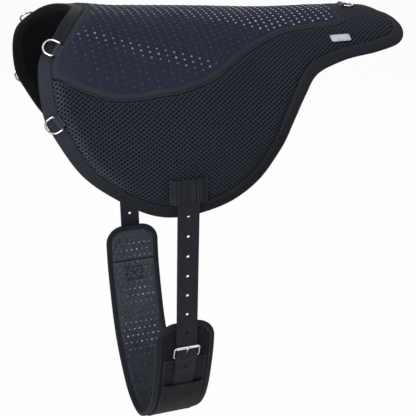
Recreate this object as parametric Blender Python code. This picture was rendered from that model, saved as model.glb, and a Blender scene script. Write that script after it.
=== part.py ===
"""Bareback pad with its girth, as separate padded, sewn and metal pieces.

The pad is drawn flat first, as a pattern: x runs back along the spine, and s runs from the
spine down over the flap, negative on the near side. The function arch() lays that pattern
over the barrel of a horse. The girth is drawn flat too, and girth_point() hangs it in its U.
"""

import math

import bmesh
import bpy
from mathutils import Matrix, Vector

# Pad, in metres. x is zero over the girth straps, and z is zero under the spine there.
FRONT_REACH = 0.256
REAR_REACH = 0.530
FLAP_DROP = 0.480
PAD_THICKNESS = 0.018
GAP = 0.0003

# Barrel that the pad lies on: its radius and the drop of its spine, from front to tail
BARREL_RADIUS = 0.232
SPINE_FALL = 0.077
RADIUS_shares = ((-1.0, 0.721), (0.0, 1.0), (0.51, 0.898), (1.0, 0.806))
SPINE_shares = (
    (-1.0, 0.282), (-0.8, 0.383), (-0.6, 0.313), (-0.3, 0.095), (0.0, 0.0), (0.2, -0.104),
    (0.42, -0.236), (0.6, -0.283), (0.78, -0.297), (0.9, -0.388), (1.0, -0.59),
)

# Pattern of one half of the pad, from the spine at the withers round to the spine at the tail
OUTLINE_shares = (
    (-0.622, 0.0), (-0.673, 0.078), (-0.818, 0.216), (-0.967, 0.327), (-0.981, 0.516),
    (-0.912, 0.638), (-0.727, 0.824), (-0.442, 0.939), (-0.106, 1.0), (0.133, 0.962),
    (0.271, 0.866), (0.369, 0.726), (0.427, 0.604), (0.484, 0.497), (0.551, 0.405),
    (0.673, 0.349), (0.820, 0.315), (0.931, 0.256), (0.987, 0.151), (0.987, 0.0),
)
SEAT_CORNER_DROP = 0.187
SEAT_EDGE_shares = (
    (-0.800, 0.440), (-0.675, 0.481), (-0.505, 0.509), (-0.339, 0.507), (-0.162, 0.496),
    (0.000, 0.488), (0.105, 0.452), (0.171, 0.409), (0.262, 0.333), (0.356, 0.265),
    (0.457, 0.207), (0.586, 0.179), (0.677, 0.175), (0.729, 0.147), (0.737, 0.096), (0.739, 0.0),
)
SEAT_SPINE_shares = (-0.36, 0.66)
SPOKES = 26
CORNER_SPOKE = 6
SEAT_RINGS = 6
FLAP_RINGS = 6
BEND_REACH = 0.12

# Layers, counted outwards from the pad's nominal outer face
BORDER_WIDTH = 0.0242
BORDER_STEP = 0.0045
BORDER_RISE = 0.03
MESH_THICKNESS = 0.0031
LINING_THICKNESS = 0.002
BINDING_THICKNESS = 0.0012
BINDING_TURN = 0.0042
BINDING_INNER_WIDTH = 0.020
BINDING_PLAY = 0.0011
SEAT_COVER_THICKNESS = 0.0015
SEAT_CROWN = 0.0045
SEAT_CROWN_RUN = 0.075
PIPING_RADIUS = 0.0022
PIPING_SIDES = 6
PIPING_START_share = 0.2

# Webbing of the girth straps
STRAP_WIDTH = 0.0445
STRAP_THICKNESS = 0.002
STRAP_HOLE_RADIUS = 0.003
STRAP_HOLES = 9
HOLE_PITCH = 0.0445
BELT_EXIT_DROP = 0.408
BELT_END_DROP = 0.428
BELT_SLOT_PLAY = 0.0015
BELT_SINK = 0.0042
BELT_RAMP = 0.012
BELT_STEPS = 16
BILLET_TOP_DROP = 0.4145
BILLET_TAIL = 0.125
NEAR_HOLE = 8
FAR_HOLE = 7

# Wide elastic keepers on the pad
KEEPER_WIDTH = 0.075
KEEPER_HEIGHT = 0.05
KEEPER_THICKNESS = 0.0016
KEEPER_SEAM = 0.0045
KEEPER_TOP_DROP = 0.398

# D-rings and their webbing tabs
WIRE_RADIUS = 0.0019
RING_HALF_WIDTH = 0.015
RING_LEG = 0.0095
RING_CORNER = 0.0025
RING_ARC_STEPS = 9
RING_SIDES = 6
UPPER_RING_DROP = 0.125
UPPER_RING_INSET = 0.022
LOWER_RING_DROP = 0.281
LOWER_RING_INSET = 0.0175
LOWER_RING_SEAT = 0.0002
REAR_RING_BACK = 0.0215
TAB_WIDTH = 0.0245
TAB_THICKNESS = 0.0013
TAB_LEG = 0.010
TAB_PLAY = 0.00035
TAB_STEPS = 10

# Blank woven label behind the seat, on the near side
LABEL_LENGTH = 0.042
LABEL_WIDTH = 0.017
LABEL_THICKNESS = 0.0006
LABEL_BACK = 0.358
LABEL_DROP = 0.121

# Girth: half of its U in the cross plane, from the lowest point up the leg
GIRTH_WIDTH = 0.125
GIRTH_HALF_SPAN = 0.212
GIRTH_DEPTH = 0.3625
GIRTH_LOWEST = -0.8985
GIRTH_CURVE_shares = (
    (0.0, 0.0), (0.265, 0.034), (0.527, 0.152), (0.685, 0.262), (0.770, 0.350),
    (0.836, 0.444), (0.918, 0.602), (0.975, 0.760), (1.0, 1.0),
)
NEAR_LEG = 0.4245
FAR_LEG = 0.458
GIRTH_CORNER = 0.042
GIRTH_CORE = 0.0058
GIRTH_LINING = 0.0028
GIRTH_COVER = 0.0012
GIRTH_BINDING_WIDTH = 0.012
GIRTH_BINDING = 0.001
GIRTH_ROWS = 26
GIRTH_CORNER_ROWS = 3
GIRTH_COLUMNS = 2
GIRTH_WEBBING = 0.0018
GIRTH_WEBBING_WIDTH = 0.094
GIRTH_WEBBING_GAP = 0.009

# Roller buckle, placed down from the girth's end
ROLLER_DOWN = 0.052
BUCKLE_PITCH = 0.026
BUCKLE_WIRE = 0.0018
BUCKLE_HALF_WIDTH = 0.0265
BUCKLE_CORNER = 0.003
BUCKLE_SIDES = 8
BAR_HEIGHT = 0.0058
ROLLER_HEIGHT = 0.009
ROLLER_RADIUS = 0.003
ROLLER_PLAY = 0.00025
ROLLER_SIDES = 16
TONGUE_RADIUS = 0.0014
TONGUE_EYE_WIDTH = 0.005
TONGUE_EYE_WALL = 0.0013
TONGUE_CROSSING_share = 0.62
TONGUE_CROSSING_HEIGHT = 0.0082
TONGUE_WRAP = 0.6
TONGUE_PAST = 0.003
TONGUE_REST = 0.0002
TONGUE_CLEARANCE = 0.0008
TONGUE_LIFT = math.radians(3)
TONGUE_SIDES = 8
CHAPE_THICKNESS = 0.0015
CHAPE_LENGTH = 0.035
CHAPE_SLOT = 0.0075
CHAPE_PLAY = 0.0003
CHAPE_STEPS = 10
STRAP_BEND = 0.004
STRAP_LANDING = 0.014
GIRTH_KEEPER_DOWN = 0.160
GIRTH_KEEPER_HEIGHT = 0.045
GIRTH_KEEPER_WIDTH = 0.089
GIRTH_KEEPER_THICKNESS = 0.0014

CUT_OVERRUN = 0.004
MERGE_DISTANCE = 0.00001
CURVE_STEPS = 10


def smooth_value(table, at):
    """A smooth curve through the table's (place, value) pairs, flat past its ends."""
    if at <= table[0][0]:
        return table[0][1]
    if at >= table[-1][0]:
        return table[-1][1]
    k = next(i for i in range(len(table) - 1) if at <= table[i + 1][0])
    (x0, y0), (x1, y1) = table[k], table[k + 1]

    def slope(i):
        a, b = table[max(i - 1, 0)], table[min(i + 1, len(table) - 1)]
        return (b[1] - a[1]) / (b[0] - a[0])

    run = x1 - x0
    t = (at - x0) / run
    h00, h10 = (1 + 2 * t) * (1 - t) ** 2, t * (1 - t) ** 2
    h01, h11 = t * t * (3 - 2 * t), t * t * (t - 1)
    return h00 * y0 + h10 * run * slope(k) + h01 * y1 + h11 * run * slope(k + 1)


def smoothstep(t):
    t = min(max(t, 0.0), 1.0)
    return t * t * (3 - 2 * t)


def share_of_reach(x):
    return x / (FRONT_REACH if x < 0 else REAR_REACH)


def from_shares(shares):
    """Pattern points in metres from shares of the reaches and of the drop."""
    return [
        Vector((u * (FRONT_REACH if u < 0 else REAR_REACH), v * FLAP_DROP))
        for u, v in shares
    ]


def arch(x, s, out):
    """The place on the draped pad of pattern point (x, s), raised by out from its outer face."""
    at = share_of_reach(x)
    radius = BARREL_RADIUS * smooth_value(RADIUS_shares, at)
    top = PAD_THICKNESS + SPINE_FALL * smooth_value(SPINE_shares, at)
    angle = min(abs(s) / radius, math.pi / 2)
    fall = max(abs(s) - radius * math.pi / 2, 0.0)
    y = math.copysign((radius + out) * math.sin(angle), s)
    return Vector((x, y, top - radius + (radius + out) * math.cos(angle) - fall))


def curve_through(points, before, after):
    """A Catmull-Rom curve through pattern points, with the neighbours beyond its two ends."""
    p = [before, *points, after]
    line = []
    for k in range(1, len(p) - 2):
        for step in range(CURVE_STEPS):
            t = step / CURVE_STEPS
            line.append(
                0.5
                * (
                    2 * p[k]
                    + (p[k + 1] - p[k - 1]) * t
                    + (2 * p[k - 1] - 5 * p[k] + 4 * p[k + 1] - p[k + 2]) * t * t
                    + (3 * p[k] - p[k - 1] - 3 * p[k + 1] + p[k + 2]) * t**3
                )
            )
    return line + [p[-2].copy()]


def even_places(line, count):
    """count + 1 places along a line, closer in its bends, as (index, share of the step) pairs."""
    run, bend = [0.0], 0.0
    for k in range(len(line) - 1):
        step = line[k + 1] - line[k]
        if k:
            bend = step.angle(line[k] - line[k - 1])
        run.append(run[-1] + step.length + bend * BEND_REACH)
    places, k = [], 0
    for i in range(count + 1):
        at = run[-1] * i / count
        while k < len(run) - 2 and run[k + 1] < at:
            k += 1
        places.append((k, (at - run[k]) / (run[k + 1] - run[k])))
    return places


def read_places(line, places):
    return [line[k].lerp(line[k + 1], t) for k, t in places]


def mirrored(p):
    return Vector((p.x, -p.y))


def inward_normals(points):
    """Unit normals into the pattern, along the spine at its two ends."""
    normals = []
    for k in range(len(points)):
        before = points[k - 1] if k else mirrored(points[1])
        after = points[k + 1] if k < len(points) - 1 else mirrored(points[-2])
        along = (after - before).normalized()
        normals.append(Vector((along.y, -along.x)))
    return normals


def split_at_drop(line, drop):
    """The index of the line's first point that lies further down than drop."""
    return next(i for i, p in enumerate(line) if p.y >= drop)


class Pattern:
    """The flat pattern: outline, border seam, seat edge, and the spokes that join them."""

    def __init__(self):
        shape = from_shares(OUTLINE_shares)
        self.outline = curve_through(shape, mirrored(shape[1]), mirrored(shape[-2]))
        normals = inward_normals(self.outline)
        cut = BORDER_WIDTH + GAP
        self.seam = [p + n * cut for p, n in zip(self.outline, normals)]
        corner = split_at_drop(self.seam, SEAT_CORNER_DROP)
        edge = [self.seam[corner], *from_shares(SEAT_EDGE_shares)]
        self.seat_edge = curve_through(edge, edge[0] + (edge[0] - edge[1]), mirrored(edge[-2]))
        rest = SPOKES - CORNER_SPOKE
        places = even_places(self.outline[: corner + 1], CORNER_SPOKE)[:-1]
        places += [(k + corner, t) for k, t in even_places(self.outline[corner:], rest)]
        self.rim = read_places(self.outline, places)
        self.border = read_places(self.seam, places)
        self.normals = read_places(normals, places)
        self.seat = self.border[:CORNER_SPOKE]
        self.seat += read_places(self.seat_edge, even_places(self.seat_edge, rest))
        self.seat_normals = inward_normals(self.seat)
        self.whole_seat = self.seam[:corner] + self.seat_edge
        lo, hi = SEAT_SPINE_shares
        start, end = lo * FRONT_REACH, hi * REAR_REACH
        self.spine = [
            Vector((start + (end - start) * i / SPOKES, 0.0)) for i in range(SPOKES + 1)
        ]

    def seat_inset(self, i, by):
        """The seat's edge on spoke i, moved in (or out, where by is negative)."""
        if i <= CORNER_SPOKE:
            return self.seat[i]
        return self.seat[i] + self.seat_normals[i] * by

    def seat_spoke(self, i, edge_gap):
        """Points from the spine to the seat's edge."""
        edge = self.seat_inset(i, edge_gap)
        return [self.spine[i].lerp(edge, k / SEAT_RINGS) for k in range(SEAT_RINGS + 1)]

    def flap_spoke(self, i, edge_gap):
        """Points from the seat's edge to the border seam, closer together at the seam."""
        edge = self.seat_inset(i, -edge_gap)
        return [
            edge.lerp(self.border[i], 1 - (1 - k / FLAP_RINGS) ** 1.35)
            for k in range(FLAP_RINGS + 1)
        ]


def nearest(line, p):
    return min((q - p).length for q in line)


def outer_level(pattern, p):
    """The outer face of the pad, which drops to the border near the edge."""
    inset = nearest(pattern.outline, Vector((p.x, abs(p.y))))
    return BORDER_STEP * (smoothstep((inset - BORDER_WIDTH) / BORDER_RISE) - 1)


def seat_crown(pattern, p):
    inside = nearest(pattern.whole_seat, Vector((p.x, abs(p.y))))
    return SEAT_CROWN * smoothstep(inside / SEAT_CROWN_RUN)


def material(name, colour, roughness, metallic=0.0):
    made = bpy.data.materials.new(name)
    made.use_nodes = True
    shader = made.node_tree.nodes["Principled BSDF"]
    shader.inputs["Base Color"].default_value = (*colour, 1.0)
    shader.inputs["Roughness"].default_value = roughness
    shader.inputs["Metallic"].default_value = metallic
    return made


def add_object(name, mesh, finish, place=None, smooth_angle=math.radians(40)):
    mesh.shade_smooth()
    mesh.set_sharp_from_angle(angle=smooth_angle)
    mesh.materials.append(finish)
    made = bpy.data.objects.new(name, mesh)
    bpy.context.scene.collection.objects.link(made)
    if place is not None:
        made.matrix_world = place
    return made


def mesh_from(name, points, faces):
    """A closed mesh, with its normals turned outwards."""
    work = bmesh.new()
    verts = [work.verts.new(p) for p in points]
    for face in faces:
        work.faces.new([verts[i] for i in face])
    bmesh.ops.recalc_face_normals(work, faces=work.faces)
    mesh = bpy.data.meshes.new(name)
    work.to_mesh(mesh)
    work.free()
    return mesh


def padded_mesh(name, cells, top, bottom):
    """A closed layer over pattern cells: top and bottom give each point's place in space."""
    index, flat, faces = {}, [], []
    near = [(i, j) for i in (0, -1, 1) for j in (0, -1, 1)]
    for cell in cells:
        face = []
        for p in cell:
            u, v = round(p.x / MERGE_DISTANCE), round(p.y / MERGE_DISTANCE)
            known = next((index[u + i, v + j] for i, j in near if (u + i, v + j) in index), None)
            if known is None:
                known = index[u, v] = len(flat)
                flat.append(p)
            if known not in face:
                face.append(known)
        if len(face) > 2:
            faces.append(face)
    count = len(flat)
    used = {}
    for face in faces:
        for a, b in zip(face, face[1:] + face[:1]):
            used[(a, b)] = True
    sides = [
        (a, b, b + count, a + count) for a, b in used if (b, a) not in used
    ]
    points = [top(p) for p in flat] + [bottom(p) for p in flat]
    under = [[i + count for i in reversed(face)] for face in faces]
    return mesh_from(name, points, faces + under + [s[::-1] for s in sides])


def both_sides(spokes):
    """Cells between neighbouring spokes, on the near side and on the far side."""
    cells = []
    for a, b in zip(spokes, spokes[1:]):
        for k in range(len(a) - 1):
            for cell in ([a[k], a[k + 1], b[k + 1]], [a[k], b[k + 1], b[k]]):
                first, second = cell[1] - cell[0], cell[2] - cell[0]
                if abs(first.x * second.y - first.y * second.x) > MERGE_DISTANCE**2:
                    cells.append(cell)
                    cells.append([mirrored(p) for p in reversed(cell)])
    return cells


def tube_mesh(name, path, radius, sides, closed):
    """A round tube along a path, closed on itself or with flat ends."""
    count = len(path)
    points, faces = [], []
    up = None
    for k in range(count):
        if closed:
            along = path[(k + 1) % count] - path[k - 1]
        else:
            along = path[min(k + 1, count - 1)] - path[max(k - 1, 0)]
        along.normalize()
        if up is None:
            up = along.orthogonal().normalized()
        up = (up - along * up.dot(along)).normalized()
        side = along.cross(up)
        for j in range(sides):
            turn = 2 * math.pi * j / sides
            points.append(path[k] + (up * math.cos(turn) + side * math.sin(turn)) * radius)
    for k in range(count if closed else count - 1):
        a, b = k * sides, ((k + 1) % count) * sides
        for j in range(sides):
            n = (j + 1) % sides
            faces.append((a + j, a + n, b + n, b + j))
    if not closed:
        faces.append(tuple(range(sides)))
        faces.append(tuple(reversed(range((count - 1) * sides, count * sides))))
    return mesh_from(name, points, faces)


def strip_mesh(name, path, across, width, thickness):
    """A flat strap along a path, whose width runs along the vector across."""
    points, faces = [], []
    runs = [(b - a).normalized() for a, b in zip(path, path[1:])]
    for k, p in enumerate(path):
        before, after = runs[max(k - 1, 0)], runs[min(k, len(runs) - 1)]
        normal = across.cross(before + after).normalized()
        mitre = normal.dot(across.cross(after).normalized())
        lift = normal * thickness / 2 / mitre
        half = across * width / 2
        points += [p - half - lift, p + half - lift, p + half + lift, p - half + lift]
    for k in range(len(path) - 1):
        a = 4 * k
        for j in range(4):
            n = (j + 1) % 4
            faces.append((a + j, a + n, a + 4 + n, a + 4 + j))
    faces.append((0, 1, 2, 3))
    last = 4 * (len(path) - 1)
    faces.append((last + 3, last + 2, last + 1, last))
    return mesh_from(name, points, faces)


def cylinder_mesh(name, start, end, radius, sides):
    return tube_mesh(name, [start, end], radius, sides, False)


def bushing_mesh(name, start, end, outer, inner, sides):
    """A round sleeve from start to end, with its bore."""
    along = (end - start).normalized()
    up = along.orthogonal().normalized()
    side = along.cross(up)
    points, faces = [], []
    for centre, radius in ((start, outer), (end, outer), (end, inner), (start, inner)):
        for j in range(sides):
            turn = 2 * math.pi * j / sides
            points.append(centre + (up * math.cos(turn) + side * math.sin(turn)) * radius)
    for k in range(4):
        a, b = k * sides, ((k + 1) % 4) * sides
        for j in range(sides):
            n = (j + 1) % sides
            faces.append((a + j, a + n, b + n, b + j))
    return mesh_from(name, points, faces)


def apply_boolean(target, cutter_mesh, operation):
    """Cuts a mesh out of an object, or joins one to it, and keeps the result as its mesh."""
    cutter = bpy.data.objects.new(target.name + "_cutter", cutter_mesh)
    cutter.matrix_world = Matrix.Identity(4)
    bpy.context.scene.collection.objects.link(cutter)
    change = target.modifiers.new("cut", "BOOLEAN")
    change.operation = operation
    change.object = cutter
    change.solver = "EXACT"
    bpy.context.view_layer.update()
    seen = target.evaluated_get(bpy.context.evaluated_depsgraph_get())
    result = bpy.data.meshes.new_from_object(seen)
    target.modifiers.clear()
    target.data = result
    bpy.data.objects.remove(cutter)
    bpy.data.meshes.remove(cutter_mesh)


def add_pad_layers(pattern, finish):
    """Foam core, lining, mesh cover, seat foam and seat cover, from the horse outwards."""
    spokes = range(SPOKES + 1)
    edge_gap = PIPING_RADIUS + GAP

    def level(p):
        return outer_level(pattern, p)

    def place(p, out):
        return arch(p.x, p.y, out)

    core_top = MESH_THICKNESS + GAP
    core_under = LINING_THICKNESS + 2 * GAP - PAD_THICKNESS
    turn = BINDING_TURN + BINDING_PLAY
    rim_gap = BINDING_THICKNESS + BINDING_PLAY
    rim_level = (core_under - BORDER_STEP - core_top) / 2
    core_spokes = [
        pattern.seat_spoke(i, edge_gap)
        + pattern.flap_spoke(i, edge_gap)
        + [pattern.rim[i] + pattern.normals[i] * d for d in (turn, rim_gap)]
        for i in spokes
    ]
    rim = [spoke[-1] for spoke in core_spokes]

    def on_rim(p):
        return nearest(rim, Vector((p.x, abs(p.y)))) < MERGE_DISTANCE

    def core_face(p):
        out = min(level(p), 0.0) - core_top
        return place(p, rim_level + GAP if on_rim(p) else out)

    def core_back(p):
        return place(p, rim_level - GAP if on_rim(p) else core_under)

    core = padded_mesh("foam_core", both_sides(core_spokes), core_face, core_back)
    add_object("foam_core", core, finish["foam"])

    lining_edge = BINDING_INNER_WIDTH + GAP
    lining_spokes = [
        pattern.seat_spoke(i, edge_gap)
        + pattern.flap_spoke(i, edge_gap)
        + [pattern.rim[i] + pattern.normals[i] * lining_edge]
        for i in spokes
    ]
    lining = padded_mesh(
        "lining",
        both_sides(lining_spokes),
        lambda p: place(p, LINING_THICKNESS - PAD_THICKNESS),
        lambda p: place(p, -PAD_THICKNESS),
    )
    add_object("lining", lining, finish["lining"])

    mesh_spokes = [pattern.flap_spoke(i, edge_gap) for i in spokes[CORNER_SPOKE:]]
    cover = padded_mesh(
        "mesh_cover",
        both_sides(mesh_spokes),
        lambda p: place(p, level(p)),
        lambda p: place(p, level(p) - MESH_THICKNESS),
    )
    cover = add_object("mesh_cover", cover, finish["mesh"])

    def crown(p):
        return seat_crown(pattern, p)

    seat_spokes = [pattern.seat_spoke(i, edge_gap) for i in spokes]
    foam = padded_mesh(
        "seat_foam",
        both_sides(seat_spokes),
        lambda p: place(p, level(p) + crown(p) - SEAT_COVER_THICKNESS - GAP),
        lambda p: place(p, level(p) - MESH_THICKNESS),
    )
    foam = add_object("seat_foam", foam, finish["foam"])
    seat = padded_mesh(
        "seat_cover",
        both_sides(seat_spokes),
        lambda p: place(p, level(p) + crown(p)),
        lambda p: place(p, level(p) + crown(p) - SEAT_COVER_THICKNESS),
    )
    add_object("seat_cover", seat, finish["seat"])
    return cover, foam


def add_piping(pattern, finish):
    """Piping along the seat's lower edge, from one front corner round the back to the other."""
    half = pattern.seat[CORNER_SPOKE + 1 :]
    half[0] = half[0].lerp(half[1], PIPING_START_share)
    sunk = PIPING_RADIUS / 2
    near = [mirrored(p) for p in half]
    path = [
        arch(p.x, p.y, outer_level(pattern, p) - sunk)
        for p in near + half[-2::-1]
    ]
    mesh = tube_mesh("seat_piping", path, PIPING_RADIUS, PIPING_SIDES, False)
    add_object("seat_piping", mesh, finish["seat_edge"])


def add_binding(pattern, finish):
    """Folded edge binding all round: a wide outer leg, the turn and a shorter inner leg."""
    face = -BORDER_STEP
    back = -PAD_THICKNESS
    wall, turn = BINDING_THICKNESS, BINDING_TURN
    middle = (face + back) / 2
    profile = [
        (BORDER_WIDTH, face),
        (turn, face),
        (turn / 4, (face + middle) / 2),
        (0.0, middle),
        (turn / 4, (back + middle) / 2),
        (turn, back),
        (BINDING_INNER_WIDTH, back),
        (BINDING_INNER_WIDTH, back + wall),
        (turn, back + wall),
        (turn / 4 + wall, (back + middle) / 2),
        (wall, middle),
        (turn / 4 + wall, (face + middle) / 2),
        (turn, face - wall),
        (BORDER_WIDTH, face - wall),
    ]
    rings = []
    for i in range(SPOKES + 1):
        rings.append((pattern.rim[i], pattern.normals[i]))
    for p, n in reversed(rings[1:SPOKES]):
        rings.append((mirrored(p), mirrored(n)))
    points, faces = [], []
    for p, n in rings:
        points += [arch((p + n * d).x, (p + n * d).y, out) for d, out in profile]
    size = len(profile)
    for k in range(len(rings)):
        a, b = k * size, ((k + 1) % len(rings)) * size
        for j in range(size):
            n = (j + 1) % size
            faces.append((a + j, a + n, b + n, b + j))
    add_object("edge_binding", mesh_from("edge_binding", points, faces), finish["binding"])


def surface_frame(pattern, p, towards, out):
    """A place on the pad's outer face: x towards the given pattern direction, z outwards."""
    origin = arch(p.x, p.y, out)
    step = towards * WIRE_RADIUS
    ahead = arch(p.x + step.x, p.y + step.y, out) - arch(p.x - step.x, p.y - step.y, out)
    ahead.normalize()
    across = arch(p.x - step.y, p.y + step.x, out) - arch(p.x + step.y, p.y - step.x, out)
    up = ahead.cross(across).normalized()
    if up.dot(arch(p.x, p.y, out + WIRE_RADIUS) - origin) < 0:
        up = -up
    across = up.cross(ahead).normalized()
    rows = Matrix((ahead, across, up)).transposed().to_4x4()
    return Matrix.Translation(origin) @ rows


def ring_path():
    """The wire's centre line: bar on the y axis, arc towards +x."""
    w, leg, corner = RING_HALF_WIDTH, RING_LEG, RING_CORNER
    path = []
    for side in (-1, 1):
        turn = [
            Vector((0.0, side * (w - corner), 0.0)),
            Vector((corner * 0.29, side * (w - corner * 0.29), 0.0)),
            Vector((corner, side * w, 0.0)),
        ]
        path += turn if side < 0 else []
        if side < 0:
            for k in range(RING_ARC_STEPS + 1):
                a = -math.pi / 2 + math.pi * k / RING_ARC_STEPS
                path.append(Vector((leg + w * math.cos(a), w * math.sin(a), 0.0)))
        else:
            path += reversed(turn)
    return path


def tab_path():
    """Centre line of a tab that wraps the bar on the y axis, with its leg towards -x."""
    reach = WIRE_RADIUS + TAB_PLAY + TAB_THICKNESS / 2
    leg_gap = TAB_THICKNESS / 2 + TAB_PLAY / 2
    far = math.hypot(TAB_LEG, leg_gap)
    tangent = math.acos(reach / far) + math.atan2(leg_gap, TAB_LEG)
    first = math.pi - tangent
    path = [Vector((-TAB_LEG, 0.0, leg_gap))]
    for k in range(TAB_STEPS + 1):
        a = first - 2 * first * k / TAB_STEPS
        path.append(Vector((reach * math.cos(a), 0.0, reach * math.sin(a))))
    path.append(Vector((-TAB_LEG, 0.0, -leg_gap)))
    return path


def add_rings(pattern, finish):
    """Four D-rings on the front border and one behind the seat, each in its webbing tab."""
    ring = tube_mesh("d_ring", ring_path(), WIRE_RADIUS, RING_SIDES, True)
    across = Vector((0.0, 1.0, 0.0))
    tab = strip_mesh("ring_tab", tab_path(), across, TAB_WIDTH, TAB_THICKNESS)
    bar_height = WIRE_RADIUS + TAB_PLAY + TAB_THICKNESS + GAP + TAB_PLAY / 2
    depth = RING_LEG + RING_HALF_WIDTH
    places = []
    normals = inward_normals(pattern.outline)
    for level, drop, inset, seat in (
        ("upper", UPPER_RING_DROP, UPPER_RING_INSET, 0.0),
        ("lower", LOWER_RING_DROP, LOWER_RING_INSET, LOWER_RING_SEAT),
    ):
        k = split_at_drop(pattern.outline, drop)
        normal = normals[k]
        p = pattern.outline[k] + normal * inset
        out = bar_height - BORDER_STEP - seat
        for side, q, n in (("near", mirrored(p), mirrored(normal)), ("far", p, normal)):
            places.append((f"{side}_{level}", q, -n, out, bar_height))
    tongue_end = pattern.seat_edge[-1]
    rear = Vector((tongue_end.x + REAR_RING_BACK, 0.0))
    places.append(("rear", rear, Vector((1.0, 0.0)), bar_height, bar_height))
    for name, p, towards, out, above in places:
        frame = surface_frame(pattern, p, towards, out)
        lean = math.asin((above - WIRE_RADIUS - 2 * GAP) / depth)
        add_object(f"{name}_tab", tab.copy(), finish["webbing"], frame)
        tilted = frame @ Matrix.Rotation(lean, 4, "Y")
        add_object(f"{name}_ring", ring.copy(), finish["chrome"], tilted)


def strap_on_arch(drops, out):
    """Places down the middle of the near flap over the girth straps."""
    return [arch(0.0, -s, out) for s in drops]


def add_belt(cover, foam, finish):
    """Webbing over the top of the foam, whose ends come out through slots in the mesh."""
    under = -MESH_THICKNESS - GAP
    inside = under - BELT_SINK - STRAP_THICKNESS / 2
    outside = STRAP_THICKNESS / 2 + GAP
    steps = [BELT_EXIT_DROP * k / BELT_STEPS for k in range(BELT_STEPS)]
    ramp = BELT_RAMP / 2
    half = strap_on_arch(steps + [BELT_EXIT_DROP - ramp], inside)
    half += strap_on_arch([BELT_EXIT_DROP + ramp, BELT_END_DROP], outside)
    path = [Vector((p.x, -p.y, p.z)) for p in reversed(half[1:])] + half
    across = Vector((1.0, 0.0, 0.0))
    belt = strip_mesh("girth_belt", path, across, STRAP_WIDTH, STRAP_THICKNESS)
    add_object("girth_belt", belt, finish["webbing"])
    core = bpy.data.objects["foam_core"]
    groove_top = STRAP_THICKNESS
    groove_floor = inside - STRAP_THICKNESS / 2 - GAP
    middle = (groove_top + groove_floor) / 2
    half = strap_on_arch(steps + [BELT_EXIT_DROP - ramp, BELT_EXIT_DROP + ramp], middle)
    groove_path = [Vector((p.x, -p.y, p.z)) for p in reversed(half[1:])] + half
    room = strip_mesh(
        "belt_room", groove_path, across, STRAP_WIDTH + 2 * GAP, groove_top - groove_floor
    )
    apply_boolean(core, room, "DIFFERENCE")
    reach = ramp + STRAP_THICKNESS
    for side in (1, -1):
        slot_path = [
            Vector((p.x, side * p.y, p.z))
            for p in strap_on_arch(
                [BELT_EXIT_DROP - reach, BELT_EXIT_DROP + reach], 0.0
            )
        ]
        slot = strip_mesh(
            "belt_slot",
            slot_path,
            across,
            STRAP_WIDTH + 2 * BELT_SLOT_PLAY,
            2 * MESH_THICKNESS + 2 * CUT_OVERRUN,
        )
        apply_boolean(cover, slot, "DIFFERENCE")


def keeper_path(width, seam, low, high):
    """A keeper's centre line in its own plane: out of one seam, over the strap, into the other."""
    half = width / 2
    rise = high - low
    side = [(half, low), (half - seam, low), (half - seam - rise, high)]
    return [(-x, z) for x, z in side] + [(x, z) for x, z in reversed(side)]


def add_keepers(finish):
    """Wide elastic keepers that hold the billets against the flaps."""
    low = KEEPER_THICKNESS / 2 + GAP
    high = 2 * STRAP_THICKNESS + 4 * GAP + KEEPER_THICKNESS / 2
    middle = KEEPER_TOP_DROP + KEEPER_HEIGHT / 2
    centre = arch(0.0, -middle, 0.0)
    down = (arch(0.0, -middle - GAP, 0.0) - centre).normalized()
    out = Vector((0.0, down.z, -down.y))
    across_pad = Vector((1.0, 0.0, 0.0))
    path = [
        centre + across_pad * x + out * z
        for x, z in keeper_path(KEEPER_WIDTH, KEEPER_SEAM, low, high)
    ]
    for name, side in (("near_keeper", 1), ("far_keeper", -1)):
        line = [Vector((p.x, side * p.y, p.z)) for p in path]
        along = Vector((down.x, side * down.y, down.z))
        mesh = strip_mesh(name, line, along, KEEPER_HEIGHT, KEEPER_THICKNESS)
        add_object(name, mesh, finish["elastic"])


def add_label(finish):
    """A blank woven label, which follows the tail."""
    cells, steps = [], 3
    for i in range(steps):
        for j in range(steps):
            corner = [(i, j), (i + 1, j), (i + 1, j + 1), (i, j + 1)]
            cells.append(
                [
                    Vector(
                        (
                            LABEL_BACK + LABEL_LENGTH * (u / steps - 0.5),
                            -LABEL_DROP + LABEL_WIDTH * (v / steps - 0.5),
                        )
                    )
                    for u, v in corner
                ]
            )
    low = 2 * GAP
    mesh = padded_mesh(
        "blank_label",
        cells,
        lambda p: arch(p.x, p.y, low + LABEL_THICKNESS),
        lambda p: arch(p.x, p.y, low),
    )
    add_object("blank_label", mesh, finish["label"])


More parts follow.
